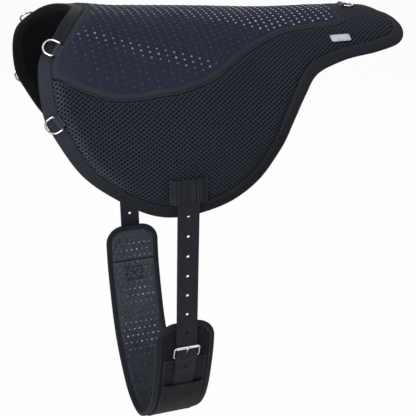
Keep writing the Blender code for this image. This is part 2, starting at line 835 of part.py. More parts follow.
class GirthCurve:
    """Half of the girth's U in the cross plane, by distance up the leg from its lowest point."""

    def __init__(self):
        points = [
            Vector((u * GIRTH_HALF_SPAN, GIRTH_LOWEST + v * GIRTH_DEPTH))
            for u, v in GIRTH_CURVE_shares
        ]
        before = Vector((-points[1].x, points[1].y))
        after = points[-1] + (points[-1] - points[-2])
        self.line = curve_through(points, before, after)
        self.run = [0.0]
        for a, b in zip(self.line, self.line[1:]):
            self.run.append(self.run[-1] + (b - a).length)

    def at(self, up_leg):
        """The point and the outward normal at a distance up the leg."""
        b = min(abs(up_leg), self.run[-1])
        k = next(i for i in range(len(self.run) - 1) if b <= self.run[i + 1])
        t = (b - self.run[k]) / (self.run[k + 1] - self.run[k])
        p = self.line[k].lerp(self.line[k + 1], t)
        before = self.line[max(k - 1, 0)]
        along0 = self.line[k + 1] - before
        along1 = self.line[min(k + 2, len(self.line) - 1)] - self.line[k]
        if k == 0:
            along0 = Vector((1.0, 0.0))
        along = along0.normalized().lerp(along1.normalized(), t).normalized()
        return p, Vector((along.y, -along.x))

    def place(self, run, x, out):
        """A place on the girth: run is distance from the lowest point, negative on the near leg."""
        p, n = self.at(run)
        side = -1 if run < 0 else 1
        return Vector((x, side * (p.x + n.x * out), p.y + n.y * out))


def girth_rows(inset):
    """Rows of the girth's flat pattern: (run, half width), with rounded corners."""
    near, far = -NEAR_LEG + inset, FAR_LEG - inset
    half, corner = GIRTH_WIDTH / 2 - inset, GIRTH_CORNER - inset
    rows = []
    for k in range(GIRTH_CORNER_ROWS + 1):
        a = math.pi / 2 * k / GIRTH_CORNER_ROWS
        rows.append((near + corner * (1 - math.cos(a)), half - corner * (1 - math.sin(a))))
    low, high = near + corner, far - corner
    for k in range(1, GIRTH_ROWS):
        rows.append((low + (high - low) * k / GIRTH_ROWS, half))
    for k in range(GIRTH_CORNER_ROWS, -1, -1):
        a = math.pi / 2 * k / GIRTH_CORNER_ROWS
        rows.append((far - corner * (1 - math.cos(a)), half - corner * (1 - math.sin(a))))
    return rows


def girth_cells(inset):
    rows = girth_rows(inset)
    cells = []
    for (r0, w0), (r1, w1) in zip(rows, rows[1:]):
        for j in range(GIRTH_COLUMNS):
            a, b = 2 * j / GIRTH_COLUMNS - 1, 2 * (j + 1) / GIRTH_COLUMNS - 1
            corners = ((r0, a * w0), (r0, b * w0), (r1, b * w1), (r1, a * w1))
            cells.append([Vector(c) for c in corners])
    return cells


def add_girth_layers(curve, finish):
    """Cover, neoprene core and perforated lining of the girth, from the outside in."""
    edge = GIRTH_BINDING_WIDTH + GAP
    core_edge = GIRTH_BINDING + GAP
    cover_back = -GIRTH_COVER
    core_face = cover_back - GAP
    core_back = core_face - GIRTH_CORE
    lining_face = core_back - GAP
    layers = (
        ("girth_cover", edge, 0.0, cover_back, "girth"),
        ("girth_core", core_edge, core_face, core_back, "foam"),
        ("girth_lining", edge, lining_face, lining_face - GIRTH_LINING, "lining"),
    )
    for name, inset, face, back, slot in layers:
        mesh = padded_mesh(
            name,
            girth_cells(inset),
            lambda p, out=face: curve.place(p.x, p.y, out),
            lambda p, out=back: curve.place(p.x, p.y, out),
        )
        add_object(name, mesh, finish[slot])


def add_girth_binding(curve, finish):
    """Edge binding all round the girth."""
    outer, inner = girth_rows(0.0), girth_rows(GIRTH_BINDING_WIDTH)
    wall = GIRTH_BINDING
    core_face = -GIRTH_COVER - GAP
    core_back = core_face - GIRTH_CORE
    face, back = core_face + GAP + wall, core_back - GAP - wall
    share = wall / GIRTH_BINDING_WIDTH
    profile = (
        (1.0, face), (2 * share, face), (0.0, face - wall), (0.0, back + wall),
        (2 * share, back), (1.0, back), (1.0, back + wall), (share, back + wall),
        (share, face - wall), (1.0, face - wall),
    )
    loop = [(o, i, 1) for o, i in zip(outer, inner)]
    loop += [(o, i, -1) for o, i in reversed(list(zip(outer, inner)))]
    points, faces = [], []
    for (r0, w0), (r1, w1), side in loop:
        for t, out in profile:
            points.append(curve.place(r0 + (r1 - r0) * t, side * (w0 + (w1 - w0) * t), out))
    size = len(profile)
    for k in range(len(loop)):
        a, b = k * size, ((k + 1) % len(loop)) * size
        for j in range(size):
            n = (j + 1) % size
            faces.append((a + j, a + n, b + n, b + j))
    mesh = mesh_from("girth_binding", points, faces)
    add_object("girth_binding", mesh, finish["binding"])


class Buckle:
    """One end of the girth: places by distance down from the end, across, and out from its face."""

    def __init__(self, curve, side):
        self.curve, self.side = curve, side
        self.leg = NEAR_LEG if side < 0 else FAR_LEG
        self.bar_down = ROLLER_DOWN + BUCKLE_PITCH
        self.base = self.place(self.bar_down, 0.0, 0.0)
        below = self.place(self.bar_down + BUCKLE_PITCH, 0.0, 0.0)
        above = self.place(ROLLER_DOWN, 0.0, 0.0)
        self.down = (below - above).normalized()
        self.out = Vector((0.0, self.down.z, -self.down.y)) * (-side)
        self.across = Vector((1.0, 0.0, 0.0))

    def place(self, down, x, out):
        return self.curve.place(self.side * (self.leg - down), x, out)

    def flat(self, down, x, out):
        """A place in the buckle's own straight plane, down from its bar."""
        return self.base + self.down * down + self.across * x + self.out * out


def rolled_path(buckle, count):
    """Centre line of the chape round the bar, with both legs down the girth."""
    reach = BUCKLE_WIRE + CHAPE_PLAY + CHAPE_THICKNESS / 2
    low = CHAPE_THICKNESS / 2 + GIRTH_WEBBING + 3 * GAP
    high = low + CHAPE_THICKNESS + GAP
    top = math.radians(75)
    turn = [top + (2 * math.pi - 2 * top) * k / count for k in range(count + 1)]
    bend = [buckle.flat(reach * math.cos(a), 0.0, BAR_HEIGHT + reach * math.sin(a)) for a in turn]
    legs = [
        [buckle.place(buckle.bar_down + CHAPE_LENGTH * share, 0.0, out) for share in (0.4, 0.7, 1.0)]
        for out in (high, low)
    ]
    return legs[0][::-1] + bend + legs[1]


def add_chape(buckle, name, finish):
    mesh = strip_mesh(
        name, rolled_path(buckle, CHAPE_STEPS), buckle.across, STRAP_WIDTH, CHAPE_THICKNESS
    )
    made = add_object(name, mesh, finish["webbing"])
    reach = BUCKLE_WIRE + CHAPE_PLAY + CHAPE_THICKNESS + CUT_OVERRUN
    slot = strip_mesh(
        name + "_slot",
        [buckle.flat(-reach, 0.0, BAR_HEIGHT), buckle.flat(reach, 0.0, BAR_HEIGHT)],
        buckle.across,
        CHAPE_SLOT,
        2 * reach,
    )
    apply_boolean(made, slot, "DIFFERENCE")


def add_buckle(buckle, name, finish):
    """Frame, roller and tongue of a roller buckle."""
    w, corner = BUCKLE_HALF_WIDTH, BUCKLE_CORNER
    soft = corner * 0.29
    lift = ROLLER_HEIGHT - BAR_HEIGHT
    run = math.hypot(BUCKLE_PITCH, lift)

    def level(down):
        return BAR_HEIGHT - lift * down / run

    def spot(down, x):
        return buckle.flat(-down, x, BAR_HEIGHT + lift * down / run)

    path = [
        spot(0.0, -w + corner), spot(0.0, w - corner), spot(soft, w - soft),
        spot(corner, w), spot(run - corner, w), spot(run - soft, w - soft),
        spot(run, w - corner), spot(run, -w + corner), spot(run - soft, -w + soft),
        spot(run - corner, -w), spot(corner, -w), spot(soft, -w + soft),
    ]
    frame = tube_mesh(name + "_frame", path, BUCKLE_WIRE, BUCKLE_SIDES, True)
    add_object(name + "_frame", frame, finish["chrome"])

    half = w - corner - GAP
    bore = BUCKLE_WIRE + ROLLER_PLAY
    roller = bushing_mesh(
        name + "_roller", spot(run, -half), spot(run, half), ROLLER_RADIUS, bore, ROLLER_SIDES
    )
    add_object(name + "_roller", roller, finish["chrome"])

    bar = spot(0.0, 0.0)
    line = tongue_line(buckle)
    shaft = tube_mesh(name + "_shaft", line, TONGUE_RADIUS, TONGUE_SIDES, False)
    eye_half = buckle.across * TONGUE_EYE_WIDTH / 2
    eye_bore = BUCKLE_WIRE + ROLLER_PLAY
    eye = cylinder_mesh(
        name + "_tongue", bar - eye_half, bar + eye_half, eye_bore + TONGUE_EYE_WALL, ROLLER_SIDES
    )
    tongue = add_object(name + "_tongue", eye, finish["chrome"])
    apply_boolean(tongue, shaft, "UNION")
    longer = buckle.across * TONGUE_EYE_WIDTH
    hollow = cylinder_mesh("eye_bore", bar - longer, bar + longer, eye_bore, ROLLER_SIDES)
    apply_boolean(tongue, hollow, "DIFFERENCE")
    return line


def tongue_line(buckle):
    """From the bar out through the strap, then over the roller, in the buckle's own plane."""
    crossing = Vector((-BUCKLE_PITCH * TONGUE_CROSSING_share, TONGUE_CROSSING_HEIGHT))
    roller = Vector((-BUCKLE_PITCH, ROLLER_HEIGHT))
    reach = ROLLER_RADIUS + TONGUE_REST + TONGUE_RADIUS
    apart = roller - crossing
    heading = math.atan2(apart.y, -apart.x) + math.asin(reach / apart.length)
    points = [Vector((0.0, BAR_HEIGHT)), crossing]
    for k in range(3):
        a = heading - TONGUE_WRAP * k / 2
        ahead, up = Vector((-math.cos(a), math.sin(a))), Vector((math.sin(a), math.cos(a)))
        points.append(roller + up * reach)
    points.append(points[-1] + ahead * TONGUE_PAST)
    return [buckle.flat(p.x, 0.0, p.y) for p in points]


def billet_path(buckle, tail):
    """Centre line of a billet: from its sewn top, down free, behind the roller and over the bar."""
    side = buckle.side
    on_belt = STRAP_THICKNESS * 1.5 + 2 * GAP
    off_belt = STRAP_THICKNESS * 0.5 + 2 * GAP
    keeper_low = KEEPER_TOP_DROP + KEEPER_HEIGHT
    path = [
        arch(0.0, side * s, out)
        for s, out in (
            (BILLET_TOP_DROP, on_belt),
            (BELT_END_DROP + GAP, on_belt),
            (BELT_END_DROP + 3 * STRAP_THICKNESS, on_belt - STRAP_THICKNESS / 2),
            (keeper_low, off_belt + GAP),
        )
    ]
    behind = ROLLER_HEIGHT - ROLLER_RADIUS - GAP - STRAP_THICKNESS / 2
    webbing = GIRTH_WEBBING + 2 * GAP
    over_bar = BAR_HEIGHT + BUCKLE_WIRE + CHAPE_PLAY + CHAPE_THICKNESS + GAP + STRAP_THICKNESS / 2
    path.append(buckle.flat(-BUCKLE_PITCH - STRAP_BEND, 0.0, behind))
    path.append(buckle.flat(-BUCKLE_PITCH + STRAP_BEND, 0.0, behind))
    crossing = BUCKLE_PITCH * TONGUE_CROSSING_share
    path.append(buckle.flat(-crossing, 0.0, TONGUE_CROSSING_HEIGHT))
    lift_run = STRAP_THICKNESS
    path.append(buckle.flat(-lift_run, 0.0, over_bar))
    path.append(buckle.flat(lift_run, 0.0, over_bar))
    over_chape = webbing + 2 * CHAPE_THICKNESS + 3 * GAP + STRAP_THICKNESS / 2
    for share in (0.4, 0.7, 1.0):
        path.append(buckle.place(buckle.bar_down + CHAPE_LENGTH * share, 0.0, over_chape + 2 * GAP))
    on_girth = webbing + GAP + STRAP_THICKNESS / 2
    landing = buckle.bar_down + CHAPE_LENGTH + STRAP_LANDING
    end = buckle.bar_down + tail
    path.append(buckle.place(landing, 0.0, on_girth))
    count = 5
    for k in range(1, count + 1):
        path.append(buckle.place(landing + (end - landing) * k / count, 0.0, on_girth))
    return path


def run_along(path):
    run = [0.0]
    for a, b in zip(path, path[1:]):
        run.append(run[-1] + (b - a).length)
    return run


def point_along(path, run, at):
    """The point and the direction at a distance along a path."""
    k = next((i for i in range(len(run) - 1) if at <= run[i + 1]), len(run) - 2)
    along = (path[k + 1] - path[k]).normalized()
    return path[k] + along * (at - run[k]), along


def add_billet(buckle, name, tongue, hole_in_use, finish):
    """A billet with its punched holes, one of them spread by the tongue."""
    extra = (NEAR_HOLE - hole_in_use) * HOLE_PITCH
    path = billet_path(buckle, BILLET_TAIL + extra)
    mesh = strip_mesh(name, path, buckle.across, STRAP_WIDTH, STRAP_THICKNESS)
    made = add_object(name, mesh, finish["webbing"])
    run = run_along(path)
    at_tongue = run[path.index(tongue[1])]
    first = at_tongue - (hole_in_use - 1) * HOLE_PITCH
    for k in range(STRAP_HOLES):
        if k == hole_in_use - 1:
            continue
        at = first + k * HOLE_PITCH
        centre, along = point_along(path, run, at)
        through = buckle.across.cross(along).normalized() * (STRAP_THICKNESS + CUT_OVERRUN)
        hole = cylinder_mesh(
            "hole", centre - through, centre + through, STRAP_HOLE_RADIUS, 2 * TONGUE_SIDES
        )
        apply_boolean(made, hole, "DIFFERENCE")
    room = TONGUE_RADIUS + TONGUE_CLEARANCE
    bar = tongue[0]
    for lifts in range(3):
        turn = Matrix.Rotation(-buckle.side * lifts * TONGUE_LIFT, 3, "X")
        line = [bar + turn @ (p - bar) for p in tongue[:3]]
        opening = tube_mesh("tongue_room", line, room, 2 * TONGUE_SIDES, False)
        apply_boolean(made, opening, "DIFFERENCE")


def add_girth_webbing(curve, finish):
    """Webbing down the middle of the girth, which both chapes are sewn to."""
    near = -NEAR_LEG + ROLLER_DOWN + BUCKLE_PITCH + GIRTH_WEBBING_GAP
    far = FAR_LEG - ROLLER_DOWN - BUCKLE_PITCH - GIRTH_WEBBING_GAP
    out = GIRTH_WEBBING / 2 + GAP
    rows = [run for run, width in girth_rows(GIRTH_BINDING_WIDTH + GAP)]
    runs = [near] + [run for run in rows if near < run < far] + [far]
    path = [curve.place(run, 0.0, out) for run in runs]
    across = Vector((1.0, 0.0, 0.0))
    mesh = strip_mesh("girth_webbing", path, across, GIRTH_WEBBING_WIDTH, GIRTH_WEBBING)
    add_object("girth_webbing", mesh, finish["webbing"])


def add_girth_keeper(buckle, name, finish):
    """A keeper sewn across the girth, which holds the billet's tail."""
    down = GIRTH_KEEPER_DOWN + GIRTH_KEEPER_HEIGHT / 2
    centre = buckle.place(down, 0.0, 0.0)
    ahead = buckle.place(down + GIRTH_KEEPER_HEIGHT / 2, 0.0, 0.0)
    back = buckle.place(down - GIRTH_KEEPER_HEIGHT / 2, 0.0, 0.0)
    along = (ahead - back).normalized()
    out = Vector((0.0, along.z, -along.y)) * (-buckle.side)
    low = GIRTH_WEBBING + GIRTH_KEEPER_THICKNESS / 2 + 2 * GAP
    high = GIRTH_WEBBING + STRAP_THICKNESS + 6 * GAP + GIRTH_KEEPER_THICKNESS / 2
    path = [
        centre + buckle.across * x + out * z
        for x, z in keeper_path(GIRTH_KEEPER_WIDTH, KEEPER_SEAM, low, high)
    ]
    mesh = strip_mesh(name, path, along, GIRTH_KEEPER_HEIGHT, GIRTH_KEEPER_THICKNESS)
    add_object(name, mesh, finish["webbing"])


def finishes():
    return {
        "foam": material("foam", (0.05, 0.05, 0.055), 0.9),
        "lining": material("lining", (0.008, 0.009, 0.012), 0.7),
        "mesh": material("mesh", (0.012, 0.014, 0.02), 0.8),
        "seat": material("seat", (0.018, 0.022, 0.045), 0.75),
        "seat_edge": material("seat_edge", (0.012, 0.014, 0.026), 0.7),
        "binding": material("binding", (0.014, 0.016, 0.022), 0.75),
        "webbing": material("webbing", (0.008, 0.009, 0.012), 0.6),
        "elastic": material("elastic", (0.012, 0.013, 0.02), 0.6),
        "girth": material("girth", (0.01, 0.012, 0.02), 0.75),
        "label": material("label", (0.45, 0.46, 0.48), 0.6),
        "chrome": material("chrome", (0.75, 0.76, 0.78), 0.12, 1.0),
    }


def main():
    for old in list(bpy.data.objects):
        bpy.data.objects.remove(old)
    finish = finishes()
    pattern = Pattern()
    cover, foam = add_pad_layers(pattern, finish)
    add_piping(pattern, finish)
    add_binding(pattern, finish)
    add_belt(cover, foam, finish)
    add_keepers(finish)
    add_rings(pattern, finish)
    add_label(finish)
    curve = GirthCurve()
    add_girth_layers(curve, finish)
    add_girth_binding(curve, finish)
    add_girth_webbing(curve, finish)
    for name, side, hole in (("near", -1, NEAR_HOLE), ("far", 1, FAR_HOLE)):
        buckle = Buckle(curve, side)
        add_chape(buckle, f"{name}_chape", finish)
        tongue = add_buckle(buckle, f"{name}_buckle", finish)
        add_billet(buckle, f"{name}_billet", tongue, hole, finish)
        add_girth_keeper(buckle, f"{name}_girth_keeper", finish)


main()
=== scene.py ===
"""Finish for the bareback pad: padding, fabrics, webbing, stitching and metal, and its stage.

The pad is drawn flat first, as a pattern: x runs back along the spine, and s runs from the spine
down over the flap, negative on the near side. arch() lays that pattern over the barrel of a horse.
The girth is drawn flat too, and GirthCurve.place() hangs it in its U. All sizes are in metres.
"""

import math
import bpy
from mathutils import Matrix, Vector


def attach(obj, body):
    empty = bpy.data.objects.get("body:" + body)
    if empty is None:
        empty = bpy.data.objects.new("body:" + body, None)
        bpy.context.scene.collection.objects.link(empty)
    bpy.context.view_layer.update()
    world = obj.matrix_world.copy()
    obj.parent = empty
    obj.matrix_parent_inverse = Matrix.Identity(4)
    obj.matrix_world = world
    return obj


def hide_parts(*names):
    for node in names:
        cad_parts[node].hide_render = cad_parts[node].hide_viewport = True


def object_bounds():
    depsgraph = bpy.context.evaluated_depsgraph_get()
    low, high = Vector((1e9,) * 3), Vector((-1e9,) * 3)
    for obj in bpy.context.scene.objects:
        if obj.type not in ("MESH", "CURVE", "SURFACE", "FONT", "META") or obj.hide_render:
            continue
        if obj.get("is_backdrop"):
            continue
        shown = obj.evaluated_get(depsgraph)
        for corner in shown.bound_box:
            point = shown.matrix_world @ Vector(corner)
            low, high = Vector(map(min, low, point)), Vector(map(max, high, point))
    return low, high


bl_info = {
    "name": "Bareback Pad Finish",
    "version": (1, 0, 0),
    "blender": (4, 5, 0),
    "location": "View3D > Sidebar > Bareback Pad",
    "description": "Dresses the bareback pad in its fabrics, stitching and metal",
    "category": "Object",
}

import bmesh
import bpy
from mathutils import Matrix, Vector, kdtree, noise

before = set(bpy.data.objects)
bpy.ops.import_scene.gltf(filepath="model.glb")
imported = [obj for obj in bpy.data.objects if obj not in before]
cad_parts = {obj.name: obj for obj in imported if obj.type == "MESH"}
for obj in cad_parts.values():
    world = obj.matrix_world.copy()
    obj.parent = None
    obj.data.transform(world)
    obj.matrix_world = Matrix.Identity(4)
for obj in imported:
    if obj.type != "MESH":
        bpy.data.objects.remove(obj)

# The pad's pattern and layers, as packed
FRONT_REACH = 0.256
REAR_REACH = 0.530
FLAP_DROP = 0.480
PAD_THICKNESS = 0.018
GAP = 0.0003
BARREL_RADIUS = 0.232
SPINE_FALL = 0.077
RADIUS_shares = ((-1.0, 0.721), (0.0, 1.0), (0.51, 0.898), (1.0, 0.806))
SPINE_shares = (
    (-1.0, 0.282), (-0.8, 0.383), (-0.6, 0.313), (-0.3, 0.095), (0.0, 0.0), (0.2, -0.104),
    (0.42, -0.236), (0.6, -0.283), (0.78, -0.297), (0.9, -0.388), (1.0, -0.59),
)
OUTLINE_shares = (
    (-0.622, 0.0), (-0.673, 0.078), (-0.818, 0.216), (-0.967, 0.327), (-0.981, 0.516),
    (-0.912, 0.638), (-0.727, 0.824), (-0.442, 0.939), (-0.106, 1.0), (0.133, 0.962),
    (0.271, 0.866), (0.369, 0.726), (0.427, 0.604), (0.484, 0.497), (0.551, 0.405),
    (0.673, 0.349), (0.820, 0.315), (0.931, 0.256), (0.987, 0.151), (0.987, 0.0),
)
SEAT_CORNER_DROP = 0.187
SEAT_EDGE_shares = (
    (-0.800, 0.440), (-0.675, 0.481), (-0.505, 0.509), (-0.339, 0.507), (-0.162, 0.496),
    (0.000, 0.488), (0.105, 0.452), (0.171, 0.409), (0.262, 0.333), (0.356, 0.265),
    (0.457, 0.207), (0.586, 0.179), (0.677, 0.175), (0.729, 0.147), (0.737, 0.096), (0.739, 0.0),
)
SEAT_SPINE_shares = (-0.36, 0.66)
BEND_REACH = 0.12
BORDER_WIDTH = 0.0242
BORDER_STEP = 0.0045
BORDER_RISE = 0.03
LINING_THICKNESS = 0.002
BINDING_THICKNESS = 0.0012
BINDING_TURN = 0.0042
BINDING_INNER_WIDTH = 0.020
SEAT_CROWN = 0.0045
SEAT_CROWN_RUN = 0.075
PIPING_RADIUS = 0.0022

# The straps, keepers, rings and label, as packed
STRAP_WIDTH = 0.0445
STRAP_THICKNESS = 0.002
STRAP_HOLE_RADIUS = 0.003
STRAP_HOLES = 9
HOLE_PITCH = 0.0445
BELT_END_DROP = 0.428
BILLET_TOP_DROP = 0.4145
BILLET_TAIL = 0.125
KEEPER_WIDTH = 0.075
KEEPER_HEIGHT = 0.05
KEEPER_THICKNESS = 0.0016
KEEPER_SEAM = 0.0045
KEEPER_TOP_DROP = 0.398
WIRE_RADIUS = 0.0019
RING_HALF_WIDTH = 0.015
RING_LEG = 0.0095
RING_CORNER = 0.0025
UPPER_RING_DROP = 0.125
UPPER_RING_INSET = 0.022
LOWER_RING_DROP = 0.281
LOWER_RING_INSET = 0.0175
LOWER_RING_SEAT = 0.0002
REAR_RING_BACK = 0.0215
TAB_WIDTH = 0.0245
TAB_THICKNESS = 0.0013
TAB_LEG = 0.010
TAB_PLAY = 0.00035
LABEL_LENGTH = 0.042
LABEL_WIDTH = 0.017
LABEL_THICKNESS = 0.0006
LABEL_BACK = 0.358
LABEL_DROP = 0.121

# The girth and its buckles, as packed
GIRTH_WIDTH = 0.125
GIRTH_HALF_SPAN = 0.212
GIRTH_DEPTH = 0.3625
GIRTH_LOWEST = -0.8985
GIRTH_CURVE_shares = (
    (0.0, 0.0), (0.265, 0.034), (0.527, 0.152), (0.685, 0.262), (0.770, 0.350),
    (0.836, 0.444), (0.918, 0.602), (0.975, 0.760), (1.0, 1.0),
)
NEAR_LEG = 0.4245
FAR_LEG = 0.458
GIRTH_CORNER = 0.042
GIRTH_CORE = 0.0058
GIRTH_LINING = 0.0028
GIRTH_COVER = 0.0012
GIRTH_BINDING_WIDTH = 0.012
GIRTH_SEAM = 0.371
GIRTH_BINDING = 0.001
GIRTH_WEBBING = 0.0018
GIRTH_WEBBING_WIDTH = 0.094
GIRTH_WEBBING_GAP = 0.009
ROLLER_DOWN = 0.052
BUCKLE_PITCH = 0.026
BUCKLE_WIRE = 0.0018
BUCKLE_HALF_WIDTH = 0.0265
BUCKLE_CORNER = 0.003
BAR_HEIGHT = 0.0058
ROLLER_HEIGHT = 0.009
ROLLER_RADIUS = 0.003
ROLLER_PLAY = 0.00025
TONGUE_RADIUS = 0.0014
TONGUE_EYE_WIDTH = 0.005
TONGUE_EYE_WALL = 0.0013
TONGUE_CROSSING_share = 0.62
TONGUE_CROSSING_HEIGHT = 0.0082
TONGUE_WRAP = 0.6
TONGUE_PAST = 0.003
TONGUE_REST = 0.0002
TONGUE_CLEARANCE = 0.0008
TONGUE_LIFT = math.radians(3)
CHAPE_THICKNESS = 0.0015
CHAPE_LENGTH = 0.035
CHAPE_SLOT = 0.0075
CHAPE_PLAY = 0.0003
STRAP_BEND = 0.004
STRAP_LANDING = 0.014
GIRTH_KEEPER_DOWN = 0.160
GIRTH_KEEPER_HEIGHT = 0.045
GIRTH_KEEPER_WIDTH = 0.089
GIRTH_KEEPER_THICKNESS = 0.0014
HOLE_IN_USE = {"near": 8, "far": 7}

# How finely the finish is drawn
CURVE_STEPS = 60
RING_STEPS = 10
SPOKES = 220
CORNER_SPOKE = 40
SEAT_RINGS = 20
SEAT_EDGE_STEPS = (
    0.0, 0.0012, 0.0025, 0.004, 0.006, 0.008, 0.0092, 0.0104, 0.0115, 0.0126, 0.0138, 0.0152,
    0.018, 0.023,
)
FLAP_RINGS = 30
GIRTH_ROWS = 190
GIRTH_CORNER_ROWS = 16
SHARP_ANGLE = math.radians(50)

# Forms that only the finish has
CORE_FACE = -GIRTH_COVER - GAP
CORE_BACK = CORE_FACE - GIRTH_CORE
BORDER_SINK = 0.0013
BORDER_SWELL = 0.0007
GIRTH_TAPE_TURN = 0.28
GIRTH_TAPE_SWELL = 0.0006
BOX_BELOW_SEAM = 0.034
BOX_HALF_LENGTH = 0.016
BOX_HALF_WIDTH = STRAP_WIDTH / 2 - 0.004
RIB_DEPTH = 0.00028
STITCH_RISE = 0.0002
DOT_ORIGIN = Vector((-0.1470, -0.2128))
DOT_ALONG = Vector((0.0155, -0.0047))
DOT_DOWN = Vector((0.0006, -0.0117))

# The camera, as the photograph was taken, and the floor
CAMERA_AIM = Vector((0.119, 0.0, -0.4235))
CAMERA_AZIMUTH = math.radians(-19.0)
CAMERA_ELEVATION = math.radians(24.2)
CAMERA_DISTANCE = 2.230
CAMERA_LENS = 89.1
CAMERA_SENSOR = 36.0
FLOOR_BELOW = 0.22
FLOOR_REACH = 8.0


# Sizes and colours to change


def length(name, description, default):
    return bpy.props.FloatProperty(
        name=name, description=description, default=default, min=0.0, precision=4, unit="LENGTH"
    )


def colour(name, description, default):
    return bpy.props.FloatVectorProperty(
        name=name, description=description, default=default, size=3, min=0.0, max=1.0,
        subtype="COLOR",
    )


class PadSizes(bpy.types.PropertyGroup):
    """Sizes of the padding, the trims and the repeats"""

    puff: length("Flap puff", "How far the mesh swells inside the border", 0.0027)
    front_roll: bpy.props.FloatProperty(
        name="Front roll", description="How much more the mesh swells along the front", default=1.1
    )
    seam_dip: length("Seam dip", "How far a seam pulls the fabric down", 0.0021)
    ripple: length("Ripple", "Height of the soft unevenness of the padding", 0.0009)
    pucker: length("Pucker", "Height of the small gathers along the seams", 0.0004)
    dot_radius: length("Dot radius", "Radius of a grip dot on the seat", 0.0021)
    dot_height: length("Dot height", "Height of a grip dot", 0.00045)
    seam_line: length("Cross seam", "Half the width of the seam across the girth's inside", 0.0024)
    seat_band: length("Seat band", "Width of the rolled band along the seat's edge", 0.0115)
    hole_pitch: length("Mesh pitch", "Distance between two holes in a row of the mesh", 0.0104)
    hole_row: length("Mesh rows", "Distance between two rows of holes in one column", 0.0084)
    hole_radius: length("Mesh hole", "Radius of a hole in the mesh", 0.00235)
    stitch: length("Stitch", "Length of one stitch", 0.0031)
    stitch_gap: length("Stitch spacing", "From one stitch to the next", 0.0042)
    thread: length("Thread", "Radius of the sewing thread", 0.00042)
    elastic_rib: length("Elastic rib", "Distance between two ribs of the elastic", 0.0056)
    girth_dot_pitch: length("Girth dots", "Distance between the dots across the girth", 0.0125)
    girth_dot_row: length("Girth dot rows", "Distance between two rows of those dots", 0.0165)


class PadColours(bpy.types.PropertyGroup):
    """Colours of the fabrics, webbing and metal"""

    seat: colour("Seat knit", "Navy knit of the seat", (0.0170, 0.0205, 0.0365))
    dots: colour("Grip dots", "Grip dots of the seat", (0.62, 0.64, 0.78))
    knit: colour("Spacer mesh", "Knit between the mesh's holes", (0.0245, 0.0288, 0.0425))
    seat_band: colour("Seat band", "Rolled band along the seat's edge", (0.0290, 0.0305, 0.0380))
    # Painted highlight: the tabs' webbing is given a paler colour than the straps' for the light on
    # its fold over the bar
    tabs: colour("Ring tabs", "Folded tabs that hold the rings", (0.0330, 0.0355, 0.0470))
    # Painted shade: the near-black in the mesh's holes stands for the shade in their depth, which
    # is drawn only as a bump
    holes: colour("Mesh holes", "Bottom of the mesh's holes", (0.0010, 0.0010, 0.0022))
    border: colour("Border", "Binding round the pad", (0.0102, 0.0114, 0.0165))
    piping: colour("Piping", "Piping along the seat", (0.0185, 0.0195, 0.0250))
    webbing: colour("Webbing", "Straps and tabs", (0.0118, 0.0132, 0.0192))
    elastic: colour("Elastic", "Wide elastic keepers", (0.0125, 0.0140, 0.0200))
    girth: colour("Girth cover", "Outer face of the girth", (0.0085, 0.0095, 0.0135))
    girth_strip: colour("Girth webbing", "Wide webbing along the girth", (0.0058, 0.0066, 0.0095))
    girth_edge: colour("Girth binding", "Binding round the girth", (0.0095, 0.0108, 0.0152))
    girth_lining: colour("Girth lining", "Side of the girth on the horse", (0.040, 0.047, 0.060))
    # Painted shade: the lining is made near-black for the shade inside the arch
    lining: colour("Lining", "Side of the pad on the horse", (0.0016, 0.0017, 0.0030))
    label: colour("Label", "Blank woven label", (0.60, 0.61, 0.68))
    thread: colour("Thread", "Sewing thread", (0.045, 0.048, 0.060))
    metal: colour("Metal", "Rings, buckles and rollers", (0.60, 0.60, 0.61))


# Materials


class Number:
    """A value in a material: adding, multiplying and so on write its Math nodes."""

    def __init__(self, finish, socket):
        self.finish, self.socket = finish, socket

    def math(self, operation, *others):
        return self.finish.math(operation, self, *others)

    def __add__(self, other):
        return self.math("ADD", other)

    def __sub__(self, other):
        return self.math("SUBTRACT", other)

    def __mul__(self, other):
        return self.math("MULTIPLY", other)

    def __truediv__(self, other):
        return self.math("DIVIDE", other)

    def __rsub__(self, other):
        return self.finish.math("SUBTRACT", other, self)

    def __rtruediv__(self, other):
        return self.finish.math("DIVIDE", other, self)

    def __abs__(self):
        return self.math("ABSOLUTE")

    __radd__ = __add__
    __rmul__ = __mul__


class Tree:
    """A node tree that is written by calls."""

    def __init__(self, tree):
        self.tree = tree

    def node(self, kind, settings=(), values=()):
        """Adds a node: first its settings, then the values or links of its sockets."""
        made = self.tree.nodes.new(kind)
        for name, value in dict(settings).items():
            setattr(made, name, value)
        pairs = values.items() if isinstance(values, dict) else enumerate(values)
        for name, value in pairs:
            value = getattr(value, "socket", value)
            if isinstance(value, bpy.types.NodeSocket):
                self.tree.links.new(value, made.inputs[name])
            else:
                made.inputs[name].default_value = value
        return made

    def out(self, kind, settings=(), values=()):
        """Adds a node and gives its first output."""
        return self.node(kind, settings, values).outputs[0]


